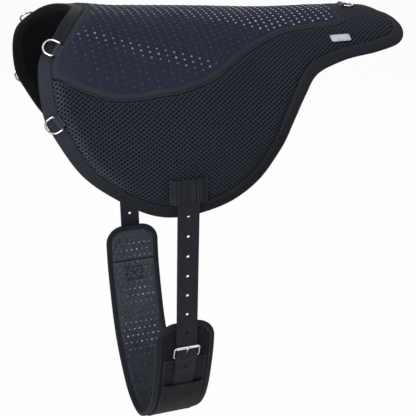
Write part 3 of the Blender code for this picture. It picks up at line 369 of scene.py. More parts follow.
class Finish(Tree):
    """One material: numbers that are the same all over are set on its shader's own sockets."""

    def __init__(self, name, base, roughness, specular, metallic=0.0):
        self.material = bpy.data.materials.new(name)
        self.material.use_nodes = True
        super().__init__(self.material.node_tree)
        self.base = (*base, 1.0)
        self.material.diffuse_color = self.base
        self.shader = self.tree.nodes["Principled BSDF"]
        for socket, value in (
            ("Base Color", self.base),
            ("Roughness", roughness),
            ("Specular IOR Level", specular),
            ("Metallic", metallic),
        ):
            self.shader.inputs[socket].default_value = value

    def surface(self, colour_value, roughness, relief=None):
        """Ends the material: its colour, its roughness, and its relief, a height in metres."""
        fed = {"Base Color": colour_value, "Roughness": roughness}
        if relief is not None:
            values = {"Strength": 1.0, "Distance": 1.0, "Height": relief}
            fed["Normal"] = self.out("ShaderNodeBump", (), values)
        for socket, value in fed.items():
            self.tree.links.new(getattr(value, "socket", value), self.shader.inputs[socket])
        return self.material

    def number(self, made, output=0):
        return Number(self, made.outputs[output])

    def math(self, operation, *values):
        return self.number(self.node("ShaderNodeMath", {"operation": operation}, values))

    def parts(self, vector):
        """The x, y and z of a vector."""
        made = self.node("ShaderNodeSeparateXYZ", (), [vector])
        return [self.number(made, k) for k in range(3)]

    def pattern(self):
        """u and v of the piece's own map, in metres along and across its cloth."""
        return self.parts(self.out("ShaderNodeUVMap", {"uv_map": "pattern"}))[:2]

    def stored(self, name):
        """A number that each point of the piece carries."""
        return self.number(self.node("ShaderNodeAttribute", {"attribute_name": name}), 2)

    def place(self):
        return self.node("ShaderNodeTexCoord").outputs["Object"]

    def cloud(self, scale, detail=2.0, roughness=0.5):
        """Soft noise about 0, from -0.5 to 0.5."""
        values = {"Vector": self.place(), "Scale": scale, "Detail": detail, "Roughness": roughness}
        made = self.node("ShaderNodeTexNoise", {"noise_dimensions": "3D"}, values)
        return self.number(made) - 0.5

    def smooth(self, value, low, high, to_low=0.0, to_high=1.0):
        """Goes smoothly from to_low to to_high as the value goes from low to high."""
        settings = {"interpolation_type": "SMOOTHSTEP", "clamp": True}
        values = [value, low, high, to_low, to_high]
        return self.number(self.node("ShaderNodeMapRange", settings, values))

    def wave(self, value, pitch):
        """A cosine wave from -1 to 1, at 1 where the value is a whole number of pitches."""
        return (value * (2 * math.pi / pitch)).math("COSINE")

    def mix(self, first, second, factor):
        """Colours mixed from first, at 0, to second, at 1."""
        made = self.node("ShaderNodeMix", {"data_type": "RGBA"}, {0: factor, 6: first, 7: second})
        return made.outputs[2]

    def shade(self, factor):
        """The base colour times a factor that varies."""
        values = {0: self.base[:3], "Scale": factor}
        return self.out("ShaderNodeVectorMath", {"operation": "SCALE"}, values)


def seat_knit(c):
    """Fine navy jersey with rows of small loops, and a paler rolled band along its edge."""
    f = Finish("seat_knit", c.seat, 0.85, 0.1)
    u, v = f.pattern()
    drift = f.cloud(60.0) * 0.0004
    loops = f.wave(u + f.wave(v, 0.0016) * 0.00016 + drift, 0.0011) * f.wave(v + drift, 0.0008)
    soft, fuzz = f.cloud(14.0, 3.0), f.cloud(520.0)
    edge = f.stored("from_edge")
    band = f.smooth(edge, 0.0135, 0.0095)
    light = 0.96 + loops * 0.14 + soft * 0.36 + fuzz * 0.9 + f.wave(edge, 0.0031) * band * 0.2
    knit = f.mix(f.shade(light), (*c.seat_band, 1.0), band * 0.7)
    return f.surface(knit, 0.85 + soft * 0.16, loops * 0.00007 + fuzz * 0.00012)


def spacer_mesh(c, z):
    """Thick knitted mesh with staggered round holes and threads between them."""
    f = Finish("spacer_mesh", c.knit, 0.75, 0.12)
    u, v = f.pattern()
    u, v = u + f.cloud(40.0, 1.0) * 0.0012, v + f.cloud(47.0, 1.0) * 0.0012

    def to_hole(shift):
        across = ((u / z.hole_pitch + shift).math("FRACT") - 0.5) * z.hole_pitch
        down = ((v / z.hole_row + shift).math("FRACT") - 0.5) * (z.hole_row * 1.12)
        return (across * across + down * down).math("SQRT")

    near = to_hole(0.0).math("MINIMUM", to_hole(0.5))
    # hole masks the holes, where the knit is mixed to the near-black painted shade of their depth
    hole = f.smooth(near, z.hole_radius * 1.28, z.hole_radius * 0.62)
    rim = f.smooth(near, z.hole_radius * 1.15, z.hole_radius * 1.7)
    slant = f.wave(u / z.hole_pitch + v / z.hole_row, 1.0)
    threads = f.wave(u + v * 0.35, 0.0009) * f.wave(v, 0.0013)
    light = 0.78 + slant * 0.20 + rim * 0.16 + threads * 0.14 + f.cloud(9.0, 3.0) * 0.34
    # Painted highlight: paler where the padding rolls over along the front
    front = f.smooth(u, -0.09, -0.15) * f.smooth(f.stored("from_edge"), 0.024, 0.006)
    knit = f.mix(f.shade(light * (1 + front * 0.9)), (*c.holes, 1.0), hole)
    relief = rim * 0.0005 - hole * 0.0011 + slant * 0.00012 + threads * 0.00007
    return f.surface(knit, 0.72 + hole * 0.25, relief)


def smooth_weave(name, base, roughness, inner=1.0, painted_light=0.0, pitch=0.0009, depth=0.00004):
    """Tightly woven tape: times inner where its v is below zero, which is painted shade; it can
    also carry a painted highlight down the front, and painted shade low on the flaps and over the
    pad's top.
    """
    f = Finish(name, base, roughness, 0.14)
    u, v = f.pattern()
    twill = f.wave(u + v, pitch) * 0.6 + f.wave(u - v * 0.4, pitch * 0.8) * 0.4
    soft, fuzz = f.cloud(18.0, 3.0), f.cloud(700.0)
    light = 0.96 + twill * 0.1 + soft * 0.34 + fuzz * 0.4
    # Painted shade: darker where v is below zero, as on the border's inner leg inside the arch
    if inner < 1.0:
        light = light * f.smooth(v, -0.001, 0.0015, inner, 1.0)
    if painted_light:
        ahead, _, height = f.parts(f.place())
        # Painted highlight: paler down the front of the pad
        front = f.smooth(ahead, -0.10, -0.19) * f.smooth(height, 0.004, -0.03)
        light = light * (1 + front * (1 + soft) * painted_light)
        # Painted shade: darker low on the flaps, and over the pad's top
        light = light * f.smooth(height, -0.215, -0.150, 0.70, 1.0)
        light = light * f.smooth(height, -0.035, -0.008, 1.0, 0.50)
    return f.surface(f.shade(light), roughness + soft * 0.18, twill * depth + fuzz * 0.00004)


def webbing(name, base, roughness=0.62, rib=0.0024, cord=0.0021):
    """Nylon webbing: ribs across it, broken into cords, with worn shine on top of the ribs."""
    f = Finish(name, base, roughness, 0.16)
    u, v = f.pattern()
    ribs = f.wave(u / rib + f.wave(v, cord * 2) * 0.35, 1.0)
    weave = ribs * 0.55 + f.wave(v, cord) * 0.45
    soft, fuzz = f.cloud(22.0, 3.0), f.cloud(800.0)
    light = 0.92 + weave * 0.26 + soft * 0.36 + fuzz * 0.3
    shine = roughness + soft * 0.2 - weave * 0.06
    return f.surface(f.shade(light), shine, weave * 0.00013 + fuzz * 0.00005)


def ribbed_elastic(c, z):
    """Ribbed elastic: dark gaps between its cords, uneven bands, and a fine weave over them."""
    f = Finish("ribbed_elastic", c.elastic, 0.65, 0.14)
    u, v = f.pattern()
    gaps = f.smooth(f.wave(u, z.elastic_rib), 0.1, -0.9)
    bands = f.wave(u, z.elastic_rib * 2.7) * 0.5 + f.wave(u, z.elastic_rib * 1.7) * 0.5
    weave = f.wave(v, 0.0011) * f.wave(u, z.elastic_rib / 2)
    soft = f.cloud(25.0)
    light = 1.12 - gaps * 0.62 + bands * 0.34 + weave * 0.14 + soft * 0.9
    return f.surface(f.shade(light), 0.6 + soft * 0.2, weave * 0.00007 - gaps * 0.0002)


def neoprene(name, base, roughness=0.8):
    """Laminated neoprene with a mottled jersey face."""
    f = Finish(name, base, roughness, 0.1)
    u, v = f.pattern()
    loops = f.wave(u, 0.0010) * f.wave(v + f.wave(u, 0.0020) * 0.0002, 0.0007)
    soft, fuzz = f.cloud(12.0, 3.0), f.cloud(420.0)
    light = 0.95 + loops * 0.1 + soft * 0.4 + fuzz * 0.6
    return f.surface(f.shade(light), roughness + soft * 0.18, loops * 0.00004 + fuzz * 0.00005)


def perforated_jersey(c, z):
    """Speckled jersey of the girth's inside: near each end a dark cross seam and a crossed box."""
    f = Finish("girth_inner_jersey", c.girth_lining, 0.78, 0.1)
    u, v = f.pattern()
    loops = f.wave(u, 0.0021) * f.wave(v, 0.0017)
    soft, specks = f.cloud(16.0, 3.0), f.cloud(230.0, 3.0, 0.6)
    pores = f.smooth(f.cloud(310.0, 1.0), -0.08, -0.20)
    past = abs(u) - GIRTH_SEAM
    seam = f.smooth(abs(past), z.seam_line, z.seam_line * 0.4)
    along, across = (past + BOX_BELOW_SEAM) / BOX_HALF_LENGTH, v / BOX_HALF_WIDTH
    reach = abs(along).math("MAXIMUM", abs(across))
    crossing = abs(abs(along) - abs(across))
    lines = f.smooth(abs(reach - 1.0).math("MINIMUM", crossing), 0.16, 0.05)
    box = lines * f.smooth(reach, 1.12, 1.04)
    light = 1.0 + loops * 0.14 + soft * 0.5 + specks * 2.6 - pores * 0.5
    light = light * (1 - seam.math("MAXIMUM", box * 0.7) * 0.85)
    # Darker at the bottom of the girth's U
    light = light * f.smooth(abs(u), 0.12, 0.26, 0.66, 1.0)
    relief = loops * 0.00005 + specks * 0.0001 - seam * 0.0006 - box * 0.0002
    return f.surface(f.shade(light.math("MAXIMUM", 0.05)), 0.78 + soft * 0.18, relief)


def woven_label(c):
    """Satin-woven label cloth, quite blank."""
    f = Finish("woven_label", c.label, 0.5, 0.3)
    u, v = f.pattern()
    rows = f.wave(v, 0.0006)
    yarns = f.wave(u + f.wave(v, 0.0012) * 0.0002, 0.0011)
    soft = f.cloud(70.0, 3.0)
    light = 0.92 + rows * 0.08 + yarns * 0.05 + soft * 0.5
    relief = rows * 0.00005 + yarns * 0.00003 + soft * 0.0002
    return f.surface(f.shade(light), 0.45 + soft * 0.25, relief)


def polished_metal(name, base, roughness=0.16):
    """Nickel-plated wire with faint wear."""
    f = Finish(name, base, roughness, 0.5, metallic=1.0)
    wear, scratch = f.cloud(160.0, 4.0, 0.6), f.cloud(1400.0)
    rough = roughness + f.smooth(wear, 0.02, 0.25) * 0.14 + scratch * 0.05
    return f.surface(f.shade(0.93 + wear * 0.16), rough, scratch * 0.000012 + wear * 0.00002)


def rubber_dot(name, base, roughness=0.4):
    """Printed silicone, whose colour is scaled by each dot's painted sheen."""
    f = Finish(name, base, roughness, 0.14)
    soft = f.cloud(240.0)
    # Painted sheen: the colour is brightened or dimmed by the number each dot carries, set by where
    # it lies
    light = f.stored("painted_sheen") * (0.85 + soft * 0.6)
    return f.surface(f.shade(light), roughness + soft * 0.2)


def sewing_thread(name, base):
    """Bonded nylon thread, twisted."""
    f = Finish(name, base, 0.5, 0.4)
    twist = f.cloud(1500.0, 1.0)
    return f.surface(f.shade(0.85 + twist * 0.7), 0.5 + twist * 0.3)


def white_floor():
    """Pale floor that the camera sees white, apart from the object's shadow."""
    f = Finish("white_floor", (0.86, 0.86, 0.86), 0.9, 0.5)
    glow = f.out("ShaderNodeEmission", (), {"Color": (1.0, 1.0, 1.0, 1.0), "Strength": 1.0})
    share = f.math("MULTIPLY", f.node("ShaderNodeLightPath").outputs["Is Camera Ray"], 0.96)
    both = f.out("ShaderNodeMixShader", (), [share, f.shader.outputs[0], glow])
    f.tree.links.new(both, f.tree.nodes["Material Output"].inputs["Surface"])
    return f.material


# The pad's pattern


def smoothstep(t):
    t = min(max(t, 0.0), 1.0)
    return t * t * (3 - 2 * t)


def fade(distance, over):
    """Falls smoothly from 1 to 0 over a distance."""
    return 1 - smoothstep(distance / over)


def swelling(distance, up, down):
    """Rises to 1 over the distance up, and is back at 0 after the distance down."""
    return smoothstep(distance / up) * fade(distance, down)


def bell(distance, width):
    """A bell curve, 1 at its middle and close to 0 from twice its width."""
    return math.exp(-((distance / width) ** 2))


def smooth_value(table, at):
    """A smooth curve through the table's (place, value) pairs, flat past its ends."""
    if at <= table[0][0]:
        return table[0][1]
    if at >= table[-1][0]:
        return table[-1][1]
    k = next(i for i in range(len(table) - 1) if at <= table[i + 1][0])
    (x0, y0), (x1, y1) = table[k], table[k + 1]

    def slope(i):
        a, b = table[max(i - 1, 0)], table[min(i + 1, len(table) - 1)]
        return (b[1] - a[1]) / (b[0] - a[0])

    run = x1 - x0
    t = (at - x0) / run
    h00, h10 = (1 + 2 * t) * (1 - t) ** 2, t * (1 - t) ** 2
    h01, h11 = t * t * (3 - 2 * t), t * t * (t - 1)
    return h00 * y0 + h10 * run * slope(k) + h01 * y1 + h11 * run * slope(k + 1)


def arch(x, s, out):
    """The place on the draped pad of pattern point (x, s), raised by out from its outer face."""
    at = x / (FRONT_REACH if x < 0 else REAR_REACH)
    radius = BARREL_RADIUS * smooth_value(RADIUS_shares, at)
    top = PAD_THICKNESS + SPINE_FALL * smooth_value(SPINE_shares, at)
    angle = min(abs(s) / radius, math.pi / 2)
    fall = max(abs(s) - radius * math.pi / 2, 0.0)
    y = math.copysign((radius + out) * math.sin(angle), s)
    return Vector((x, y, top - radius + (radius + out) * math.cos(angle) - fall))


def from_shares(shares):
    return [
        Vector((u * (FRONT_REACH if u < 0 else REAR_REACH), v * FLAP_DROP)) for u, v in shares
    ]


def mirrored(p):
    return Vector((p.x, -p.y))


def curve_through(points, before, after, steps=CURVE_STEPS):
    """A smooth curve through the points, with the neighbours beyond its two ends."""
    p = [before, *points, after]
    line = []
    for k in range(1, len(p) - 2):
        for step in range(steps):
            t = step / steps
            line.append(
                0.5
                * (
                    2 * p[k]
                    + (p[k + 1] - p[k - 1]) * t
                    + (2 * p[k - 1] - 5 * p[k] + 4 * p[k + 1] - p[k + 2]) * t * t
                    + (3 * p[k] - p[k - 1] - 3 * p[k + 1] + p[k + 2]) * t**3
                )
            )
    return line + [p[-2].copy()]


def even_places(line, count):
    """count + 1 places along a line, closer in its bends, as (index, share of the step) pairs."""
    run, bend = [0.0], 0.0
    for k in range(len(line) - 1):
        step = line[k + 1] - line[k]
        if k:
            bend = step.angle(line[k] - line[k - 1])
        run.append(run[-1] + step.length + bend * BEND_REACH)
    places, k = [], 0
    for i in range(count + 1):
        at = run[-1] * i / count
        while k < len(run) - 2 and run[k + 1] < at:
            k += 1
        places.append((k, (at - run[k]) / (run[k + 1] - run[k])))
    return places


def read_places(line, places):
    return [line[k].lerp(line[k + 1], t) for k, t in places]


def inward_normals(points):
    normals = []
    for k in range(len(points)):
        before = points[k - 1] if k else mirrored(points[1])
        after = points[k + 1] if k < len(points) - 1 else mirrored(points[-2])
        along = (after - before).normalized()
        normals.append(Vector((along.y, -along.x)))
    return normals


def lookup(line):
    """A quick way to find the nearest point of a line."""
    tree = kdtree.KDTree(len(line))
    for k, p in enumerate(line):
        tree.insert((p.x, p.y, 0.0), k)
    tree.balance()
    return tree


class Pattern:
    """The flat pattern: outline, border seam and seat edge, and how far a point is from them."""

    def __init__(self):
        shape = from_shares(OUTLINE_shares)
        self.outline = curve_through(shape, mirrored(shape[1]), mirrored(shape[-2]))
        self.normals = inward_normals(self.outline)
        cut = BORDER_WIDTH + GAP
        self.seam = [p + n * cut for p, n in zip(self.outline, self.normals)]
        corner = self.below(self.seam, SEAT_CORNER_DROP)
        edge = [self.seam[corner], *from_shares(SEAT_EDGE_shares)]
        self.seat_edge = curve_through(edge, edge[0] + (edge[0] - edge[1]), mirrored(edge[-2]))
        self.whole_seat = self.seam[:corner] + self.seat_edge
        rest = SPOKES - CORNER_SPOKE
        places = even_places(self.outline[: corner + 1], CORNER_SPOKE)[:-1]
        places += [(k + corner, t) for k, t in even_places(self.outline[corner:], rest)]
        self.rim = read_places(self.outline, places)
        self.rim_normals = read_places(self.normals, places)
        self.border = read_places(self.seam, places)
        self.seat = self.border[:CORNER_SPOKE]
        self.seat += read_places(self.seat_edge, even_places(self.seat_edge, rest))
        self.seat_normals = inward_normals(self.seat)
        lo, hi = SEAT_SPINE_shares
        start, end = lo * FRONT_REACH, hi * REAR_REACH
        self.spine = [
            Vector((start + (end - start) * i / SPOKES, 0.0)) for i in range(SPOKES + 1)
        ]
        self.near_outline = lookup(self.outline)
        self.near_seat = lookup(self.whole_seat)
        self.near_piping = lookup(self.seat_edge)

    @staticmethod
    def below(line, drop):
        """The index of the first coarse point of a line that lies further down than drop."""
        coarse = CURVE_STEPS // RING_STEPS
        return next(i for i in range(0, len(line), coarse) if line[i].y >= drop)

    def inset(self, p):
        return self.near_outline.find((p.x, abs(p.y), 0.0))[2]

    def inside_seat(self, p):
        return self.near_seat.find((p.x, abs(p.y), 0.0))[2]

    def from_piping(self, p):
        return self.near_piping.find((p.x, abs(p.y), 0.0))[2]

    def level(self, p):
        """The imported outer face, which drops to the border near the edge."""
        return BORDER_STEP * (smoothstep((self.inset(p) - BORDER_WIDTH) / BORDER_RISE) - 1)

    def seat_inset(self, i, by):
        if i <= CORNER_SPOKE:
            return self.seat[i]
        return self.seat[i] + self.seat_normals[i] * by

    def seat_spoke(self, i, edge_gap):
        edge = self.seat_inset(i, edge_gap)
        inwards = self.spine[i] - edge
        reach = inwards.length
        scale = min(1.0, reach / 0.07)
        near = [step * scale / reach for step in SEAT_EDGE_STEPS]
        rest = [near[-1] + (1 - near[-1]) * k / SEAT_RINGS for k in range(1, SEAT_RINGS + 1)]
        return [edge + inwards * share for share in reversed(near + rest)]

    def flap_spoke(self, i, edge_gap):
        """Points from the seat's edge to the border seam, closer together at both."""
        edge = self.seat_inset(i, -edge_gap)
        spoke = []
        for k in range(FLAP_RINGS + 1):
            t = k / FLAP_RINGS
            spoke.append(edge.lerp(self.border[i], t - 0.10 * math.sin(2 * math.pi * t)))
        return spoke


def unevenness(x, s, seed=0.0):
    """Soft unevenness of padding, from -1 to 1."""
    wide = noise.noise(Vector((x * 9.0, s * 9.0, 3.1 + seed)))
    fine = noise.noise(Vector((x * 34.0, s * 34.0, 7.7 + seed)))
    return wide * 0.8 + fine * 0.3


def gathers(x, s):
    """Small gathers along seams, from -1 to 1."""
    return noise.noise(Vector((x * 110.0, s * 110.0, 1.3)))


# Meshes


def add_object(name, data):
    made = bpy.data.objects.new(name, data)
    bpy.context.scene.collection.objects.link(made)
    return made


def closed_mesh(name, points, faces):
    """A mesh whose faces all point outwards."""
    mesh = bpy.data.meshes.new(name)
    mesh.from_pydata([tuple(p) for p in points], [], faces)
    work = bmesh.new()
    work.from_mesh(mesh)
    bmesh.ops.recalc_face_normals(work, faces=work.faces)
    work.to_mesh(mesh)
    work.free()
    return mesh


def add_piece(name, points, faces, finish, maps=None, sharp=SHARP_ANGLE):
    """A closed piece: maps gives each point's u and v on its cloth, in metres."""
    mesh = closed_mesh(name, points, faces)
    if maps:
        layer = mesh.uv_layers.new(name="pattern")
        for loop in mesh.loops:
            layer.data[loop.index].uv = maps[loop.vertex_index]
    mesh.shade_smooth()
    mesh.set_sharp_from_angle(angle=sharp)
    mesh.materials.append(the_finish(finish))
    return add_object(name, mesh)


def made_plain(piece):
    """Turns what a piece's modifiers make of it into its own mesh."""
    bpy.context.view_layer.update()
    graph = bpy.context.evaluated_depsgraph_get()
    result = bpy.data.meshes.new_from_object(
        piece.evaluated_get(graph), preserve_all_data_layers=True, depsgraph=graph
    )
    piece.modifiers.clear()
    piece.data = result
    return result


def panel(name, spokes, top, under, finish):
    """A closed layer over both halves of the pattern: top and under give a point's place."""
    index, flat, faces = {}, [], []

    def number(p):
        key = (round(p.x * 1e6), round(p.y * 1e6))
        if key not in index:
            index[key] = len(flat)
            flat.append(p)
        return index[key]

    for a, b in zip(spokes, spokes[1:]):
        for k in range(len(a) - 1):
            cell = [a[k], a[k + 1], b[k + 1], b[k]]
            for half in (cell, [mirrored(p) for p in reversed(cell)]):
                face = []
                for p in half:
                    n = number(p)
                    if n not in face:
                        face.append(n)
                if len(face) > 2:
                    faces.append(face)
    return slab(name, flat, faces, top, under, finish)


def slab(name, flat, faces, top, under, finish):
    """A closed layer over flat cells."""
    count = len(flat)
    used = {(a, b) for face in faces for a, b in zip(face, face[1:] + face[:1])}
    sides = [(b, a, a + count, b + count) for a, b in used if (b, a) not in used]
    points = [top(p) for p in flat] + [under(p) for p in flat]
    below = [[i + count for i in reversed(face)] for face in faces]
    maps = [(p.x, p.y) for p in flat] * 2
    return add_piece(name, points, faces + below + sides, finish, maps)


def grid_slab(name, rows, top, under, finish):
    """A closed layer over rows of flat points."""
    wide = len(rows[0])
    flat = [p for row in rows for p in row]
    faces = [
        [r * wide + c, r * wide + c + 1, (r + 1) * wide + c + 1, (r + 1) * wide + c]
        for r in range(len(rows) - 1)
        for c in range(wide - 1)
    ]
    return slab(name, flat, faces, top, under, finish)


def edge_of(rows):
    """The points round the edge of a cut that is given by rows of points across it."""
    return [row[0] for row in rows] + [row[-1] for row in reversed(rows)]


def stretched_sheet(piece, edge, *under):
    """Works out the area and the flat size of a cut from its edge, and keeps neither."""
    area = abs(sum(a.x * b.y - b.x * a.y for a, b in zip(edge, edge[1:] + edge[:1]))) / 2
    xs, ys = [p.x for p in edge], [p.y for p in edge]
    size = max(ys) - min(ys), max(xs) - min(xs)


def loop_faces(size, count, closed=False):
    """Faces between count loops of size points: round and round, or with flat ends."""
    faces = []
    for k in range(count if closed else count - 1):
        a, b = k * size, ((k + 1) % count) * size
        for j in range(size):
            n = (j + 1) % size
            faces.append((a + j, a + n, b + n, b + j))
    if not closed:
        faces += [tuple(range(size)), tuple(reversed(range((count - 1) * size, count * size)))]
    return faces


def swept(name, loops, finish, maps=None, closed=False, sharp=SHARP_ANGLE):
    """A piece through loops of points: closed on itself, or with flat ends."""
    points = [p for loop in loops for p in loop]
    faces = loop_faces(len(loops[0]), len(loops), closed)
    return add_piece(name, points, faces, finish, maps, sharp)


def circle(centre, up, side, radius, sides):
    turns = [2 * math.pi * j / sides for j in range(sides)]
    return [centre + (up * math.cos(t) + side * math.sin(t)) * radius for t in turns]


def tube_loops(path, radius, sides, closed=False):
    """Circles along a path: radius is a number, or gives one for each place's index."""
    loops, up = [], None
    count = len(path)
    for k, p in enumerate(path):
        if closed:
            along = path[(k + 1) % count] - path[k - 1]
        else:
            along = path[min(k + 1, count - 1)] - path[max(k - 1, 0)]
        along.normalize()
        up = up or along.orthogonal().normalized()
        up = (up - along * up.dot(along)).normalized()
        size = radius(k) if callable(radius) else radius
        loops.append(circle(p, up, along.cross(up), size, sides))
    return loops


def tube(name, path, radius, sides, finish, closed=False):
    """A round tube along a path, with its u along it."""
    loops = tube_loops(path, radius, sides, closed)
    maps = [(at, 0.003 * abs(1 - 2 * j / sides)) for at in run_along(path) for j in range(sides)]
    return swept(name, loops, finish, maps, closed)


def run_along(path):
    run = [0.0]
    for a, b in zip(path, path[1:]):
        run.append(run[-1] + (b - a).length)
    return run


def point_along(path, run, at):
    k = next((i for i in range(len(run) - 1) if at <= run[i + 1]), len(run) - 2)
    along = (path[k + 1] - path[k]).normalized()
    return path[k] + along * (at - run[k]), along


def eased(points, reach, steps=6):
    """The path with its corners rounded."""
    line = [points[0].copy()]
    for a, b, c in zip(points, points[1:], points[2:]):
        before, after = a - b, c - b
        cut = min(reach, before.length * 0.48, after.length * 0.48)
        p, q = b + before.normalized() * cut, b + after.normalized() * cut
        for k in range(steps + 1):
            t = k / steps
            line.append(p.lerp(b, t).lerp(b.lerp(q, t), t))
    return line + [points[-1].copy()]


def spaced(points, step):
    """The path with extra places, so that none are further apart than step."""
    line = []
    for a, b in zip(points, points[1:]):
        parts = max(1, math.ceil((b - a).length / step))
        line += [a.lerp(b, k / parts) for k in range(parts)]
    return line + [points[-1]]


def strap(name, path, across, width, thickness, finish, columns, lift=None):
    """A flat strap with rounded edges. lift raises its outer face by the distance along it."""
    runs = [(b - a).normalized() for a, b in zip(path, path[1:])]
    run = run_along(path)
    half, r = width / 2, thickness / 2
    section = [(-half + r + (width - thickness) * k / columns, r) for k in range(columns + 1)]
    turns = [math.pi / 4 * k for k in (1, 2, 3)]
    section += [(half - r + r * math.sin(a), r * math.cos(a)) for a in turns]
    section += [(-y, -z) for y, z in section]
    loops, maps = [], []
    for k, p in enumerate(path):
        before, after = runs[max(k - 1, 0)], runs[min(k, len(runs) - 1)]
        normal = across.cross(before + after).normalized()
        rise = lift(run[k]) if lift else 0.0
        loop = []
        for j, (y, z) in enumerate(section):
            loop.append(p + across * y + normal * (z + (rise if j <= columns else 0.0)))
            maps.append((run[k], y))
        loops.append(loop)
    return swept(name, loops, finish, maps)


def cut_out(target, cutter_mesh, operation="DIFFERENCE"):
    """Cuts a mesh out of a piece, or joins one to it."""
    cutter = add_object("cutter", cutter_mesh)
    change = target.modifiers.new("cut", "BOOLEAN")
    change.operation, change.object, change.solver = operation, cutter, "EXACT"
    made_plain(target)
    bpy.data.objects.remove(cutter)
    target.data.set_sharp_from_angle(angle=SHARP_ANGLE)


def joined_mesh(parts):
    """One mesh of several (points, faces) parts."""
    points, faces = [], []
    for part_points, part_faces in parts:
        start = len(points)
        points += part_points
        faces += [tuple(i + start for i in face) for face in part_faces]
    return closed_mesh("parts", points, faces)


def tube_part(path, radius, sides):
    """Points and faces of a round tube with flat ends."""
    points = [p for loop in tube_loops(path, radius, sides) for p in loop]
    return points, loop_faces(sides, len(path))


def lathe(start, end, profile, sides):
    """Loops of a round part: profile gives (share from start to end, radius) pairs, closed."""
    along = (end - start).normalized()
    up = along.orthogonal().normalized()
    side = along.cross(up)
    return [circle(start.lerp(end, share), up, side, radius, sides) for share, radius in profile]


# Repeats


class Repeat(Tree):
    """A Geometry Nodes tree with named inputs: one shape on many points, as real mesh."""

    def __init__(self, name, *numbers):
        super().__init__(bpy.data.node_groups.new(name, "GeometryNodeTree"))
        sockets = [("Geometry", "INPUT", "Geometry")]
        sockets += [(label, "INPUT", "Float") for label in numbers]
        sockets += [("Finish", "INPUT", "Material"), ("Geometry", "OUTPUT", "Geometry")]
        for label, way, kind in sockets:
            self.tree.interface.new_socket(
                name=label, in_out=way, socket_type="NodeSocket" + kind
            )
        self.start = self.node("NodeGroupInput")

    def given(self, name):
        return self.start.outputs[name]

    def end(self, points, shape, facing, size):
        """Puts the shape on each point, turned to its facing, and gives it its material."""
        turn = self.out("FunctionNodeAlignRotationToVector", {"axis": "Z"}, {"Vector": facing})
        values = {"Points": points, "Instance": shape, "Rotation": turn, "Scale": size}
        placed = self.out("GeometryNodeInstanceOnPoints", (), values)
        real = self.out("GeometryNodeRealizeInstances", (), [placed])
        values = {"Geometry": real, "Material": self.given("Finish")}
        self.node("NodeGroupOutput", (), [self.out("GeometryNodeSetMaterial", (), values)])
        return self

    def run(self, name, mesh, values):
        """The repeat over a mesh of places or rows, as a plain mesh."""
        seed = add_object(name, mesh)
        change = seed.modifiers.new("repeat", "NODES")
        change.node_group = self.tree
        for item in self.tree.interface.items_tree:
            if item.in_out == "INPUT" and item.name in values:
                change[item.identifier] = values[item.name]
        result = made_plain(seed)
        result.shade_smooth()
        if not len(result.polygons):
            raise RuntimeError(f"{name} came out empty")
        return seed


def stitch_tree():
    """Stitches along rows: a round-ended thread at each spacing, in line with the row."""
    t = Repeat("sewn_stitches", "Spacing", "Length", "Thread")
    rows = t.out("GeometryNodeMeshToCurve", (), [t.given("Geometry")])
    values = {"Curve": rows, "Length": t.given("Spacing")}
    points = t.node("GeometryNodeCurveToPoints", {"mode": "LENGTH"}, values)
    half = t.out("ShaderNodeMath", {"operation": "MULTIPLY"}, [t.given("Length"), 0.5])
    size = t.out("ShaderNodeCombineXYZ", (), [t.given("Thread"), t.given("Thread"), half])
    bead = t.out("GeometryNodeMeshUVSphere", (), {"Segments": 6, "Rings": 5, "Radius": 1.0})
    return t.end(points.outputs["Points"], bead, points.outputs["Tangent"], size)


def dot_tree():
    """Domes on places: each faces as its place says, and is a little larger or smaller."""
    t = Repeat("grip_dots", "Radius", "Height", "Spread")
    radius, spread = t.given("Radius"), t.given("Spread")
    points = t.out("GeometryNodeMeshToPoints", (), {"Mesh": t.given("Geometry"), "Radius": 0.001})
    read = "GeometryNodeInputNamedAttribute"
    facing = t.out(read, {"data_type": "FLOAT_VECTOR"}, {"Name": "facing"})
    size = t.out("ShaderNodeCombineXYZ", (), [radius, radius, t.given("Height")])
    low = t.out("ShaderNodeMath", {"operation": "SUBTRACT"}, [1.0, spread])
    high = t.out("ShaderNodeMath", {"operation": "ADD"}, [1.0, spread])
    values = {2: low, 3: high, "Seed": 7}
    chance = t.node("FunctionNodeRandomValue", {"data_type": "FLOAT"}, values).outputs[1]
    scale = t.out("ShaderNodeVectorMath", {"operation": "SCALE"}, {0: size, "Scale": chance})
    dome = t.out("GeometryNodeMeshUVSphere", (), {"Segments": 8, "Rings": 4, "Radius": 1.0})
    return t.end(points, dome, facing, scale)


def rows_mesh(rows):
    """Rows of points as chains of edges."""
    points, edges = [], []
    for row in rows:
        start = len(points)
        points += [tuple(p) for p in row]
        edges += [(start + k, start + k + 1) for k in range(len(row) - 1)]
    mesh = bpy.data.meshes.new("rows")
    mesh.from_pydata(points, edges, [])
    return mesh


def places_mesh(places):
    """(point, direction, painted sheen) places as vertices that carry their direction and painted
    sheen.
    """
    mesh = bpy.data.meshes.new("places")
    mesh.from_pydata([tuple(p) for p, n, g in places], [], [])
    facing = mesh.attributes.new("facing", "FLOAT_VECTOR", "POINT")
    facing.data.foreach_set("vector", [x for p, n, g in places for x in n])
    # The painted sheen that the dots' finish turns into colour
    painted_sheen = mesh.attributes.new("painted_sheen", "FLOAT", "POINT")
    painted_sheen.data.foreach_set("value", [g for p, n, g in places])
    return mesh


def ride(piece, body, slot, *nodes):
    """Puts a piece on the body that carries it, in place of the nodes it shows. slot is not used.
    """
    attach(piece, body)
    if nodes:
        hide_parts(*nodes)


def sew(name, rows, body, slot, finish="thread", share=1.0):
    """Stitches along rows, which ride on a body: share makes them shorter and closer."""
    z = the_sizes()
    values = {
        "Spacing": z.stitch_gap * share,
        "Length": z.stitch * share,
        "Thread": z.thread,
        "Finish": the_finish(finish),
    }
    ride(shared("stitch_tree", stitch_tree).run(name, rows_mesh(rows), values), body, slot)


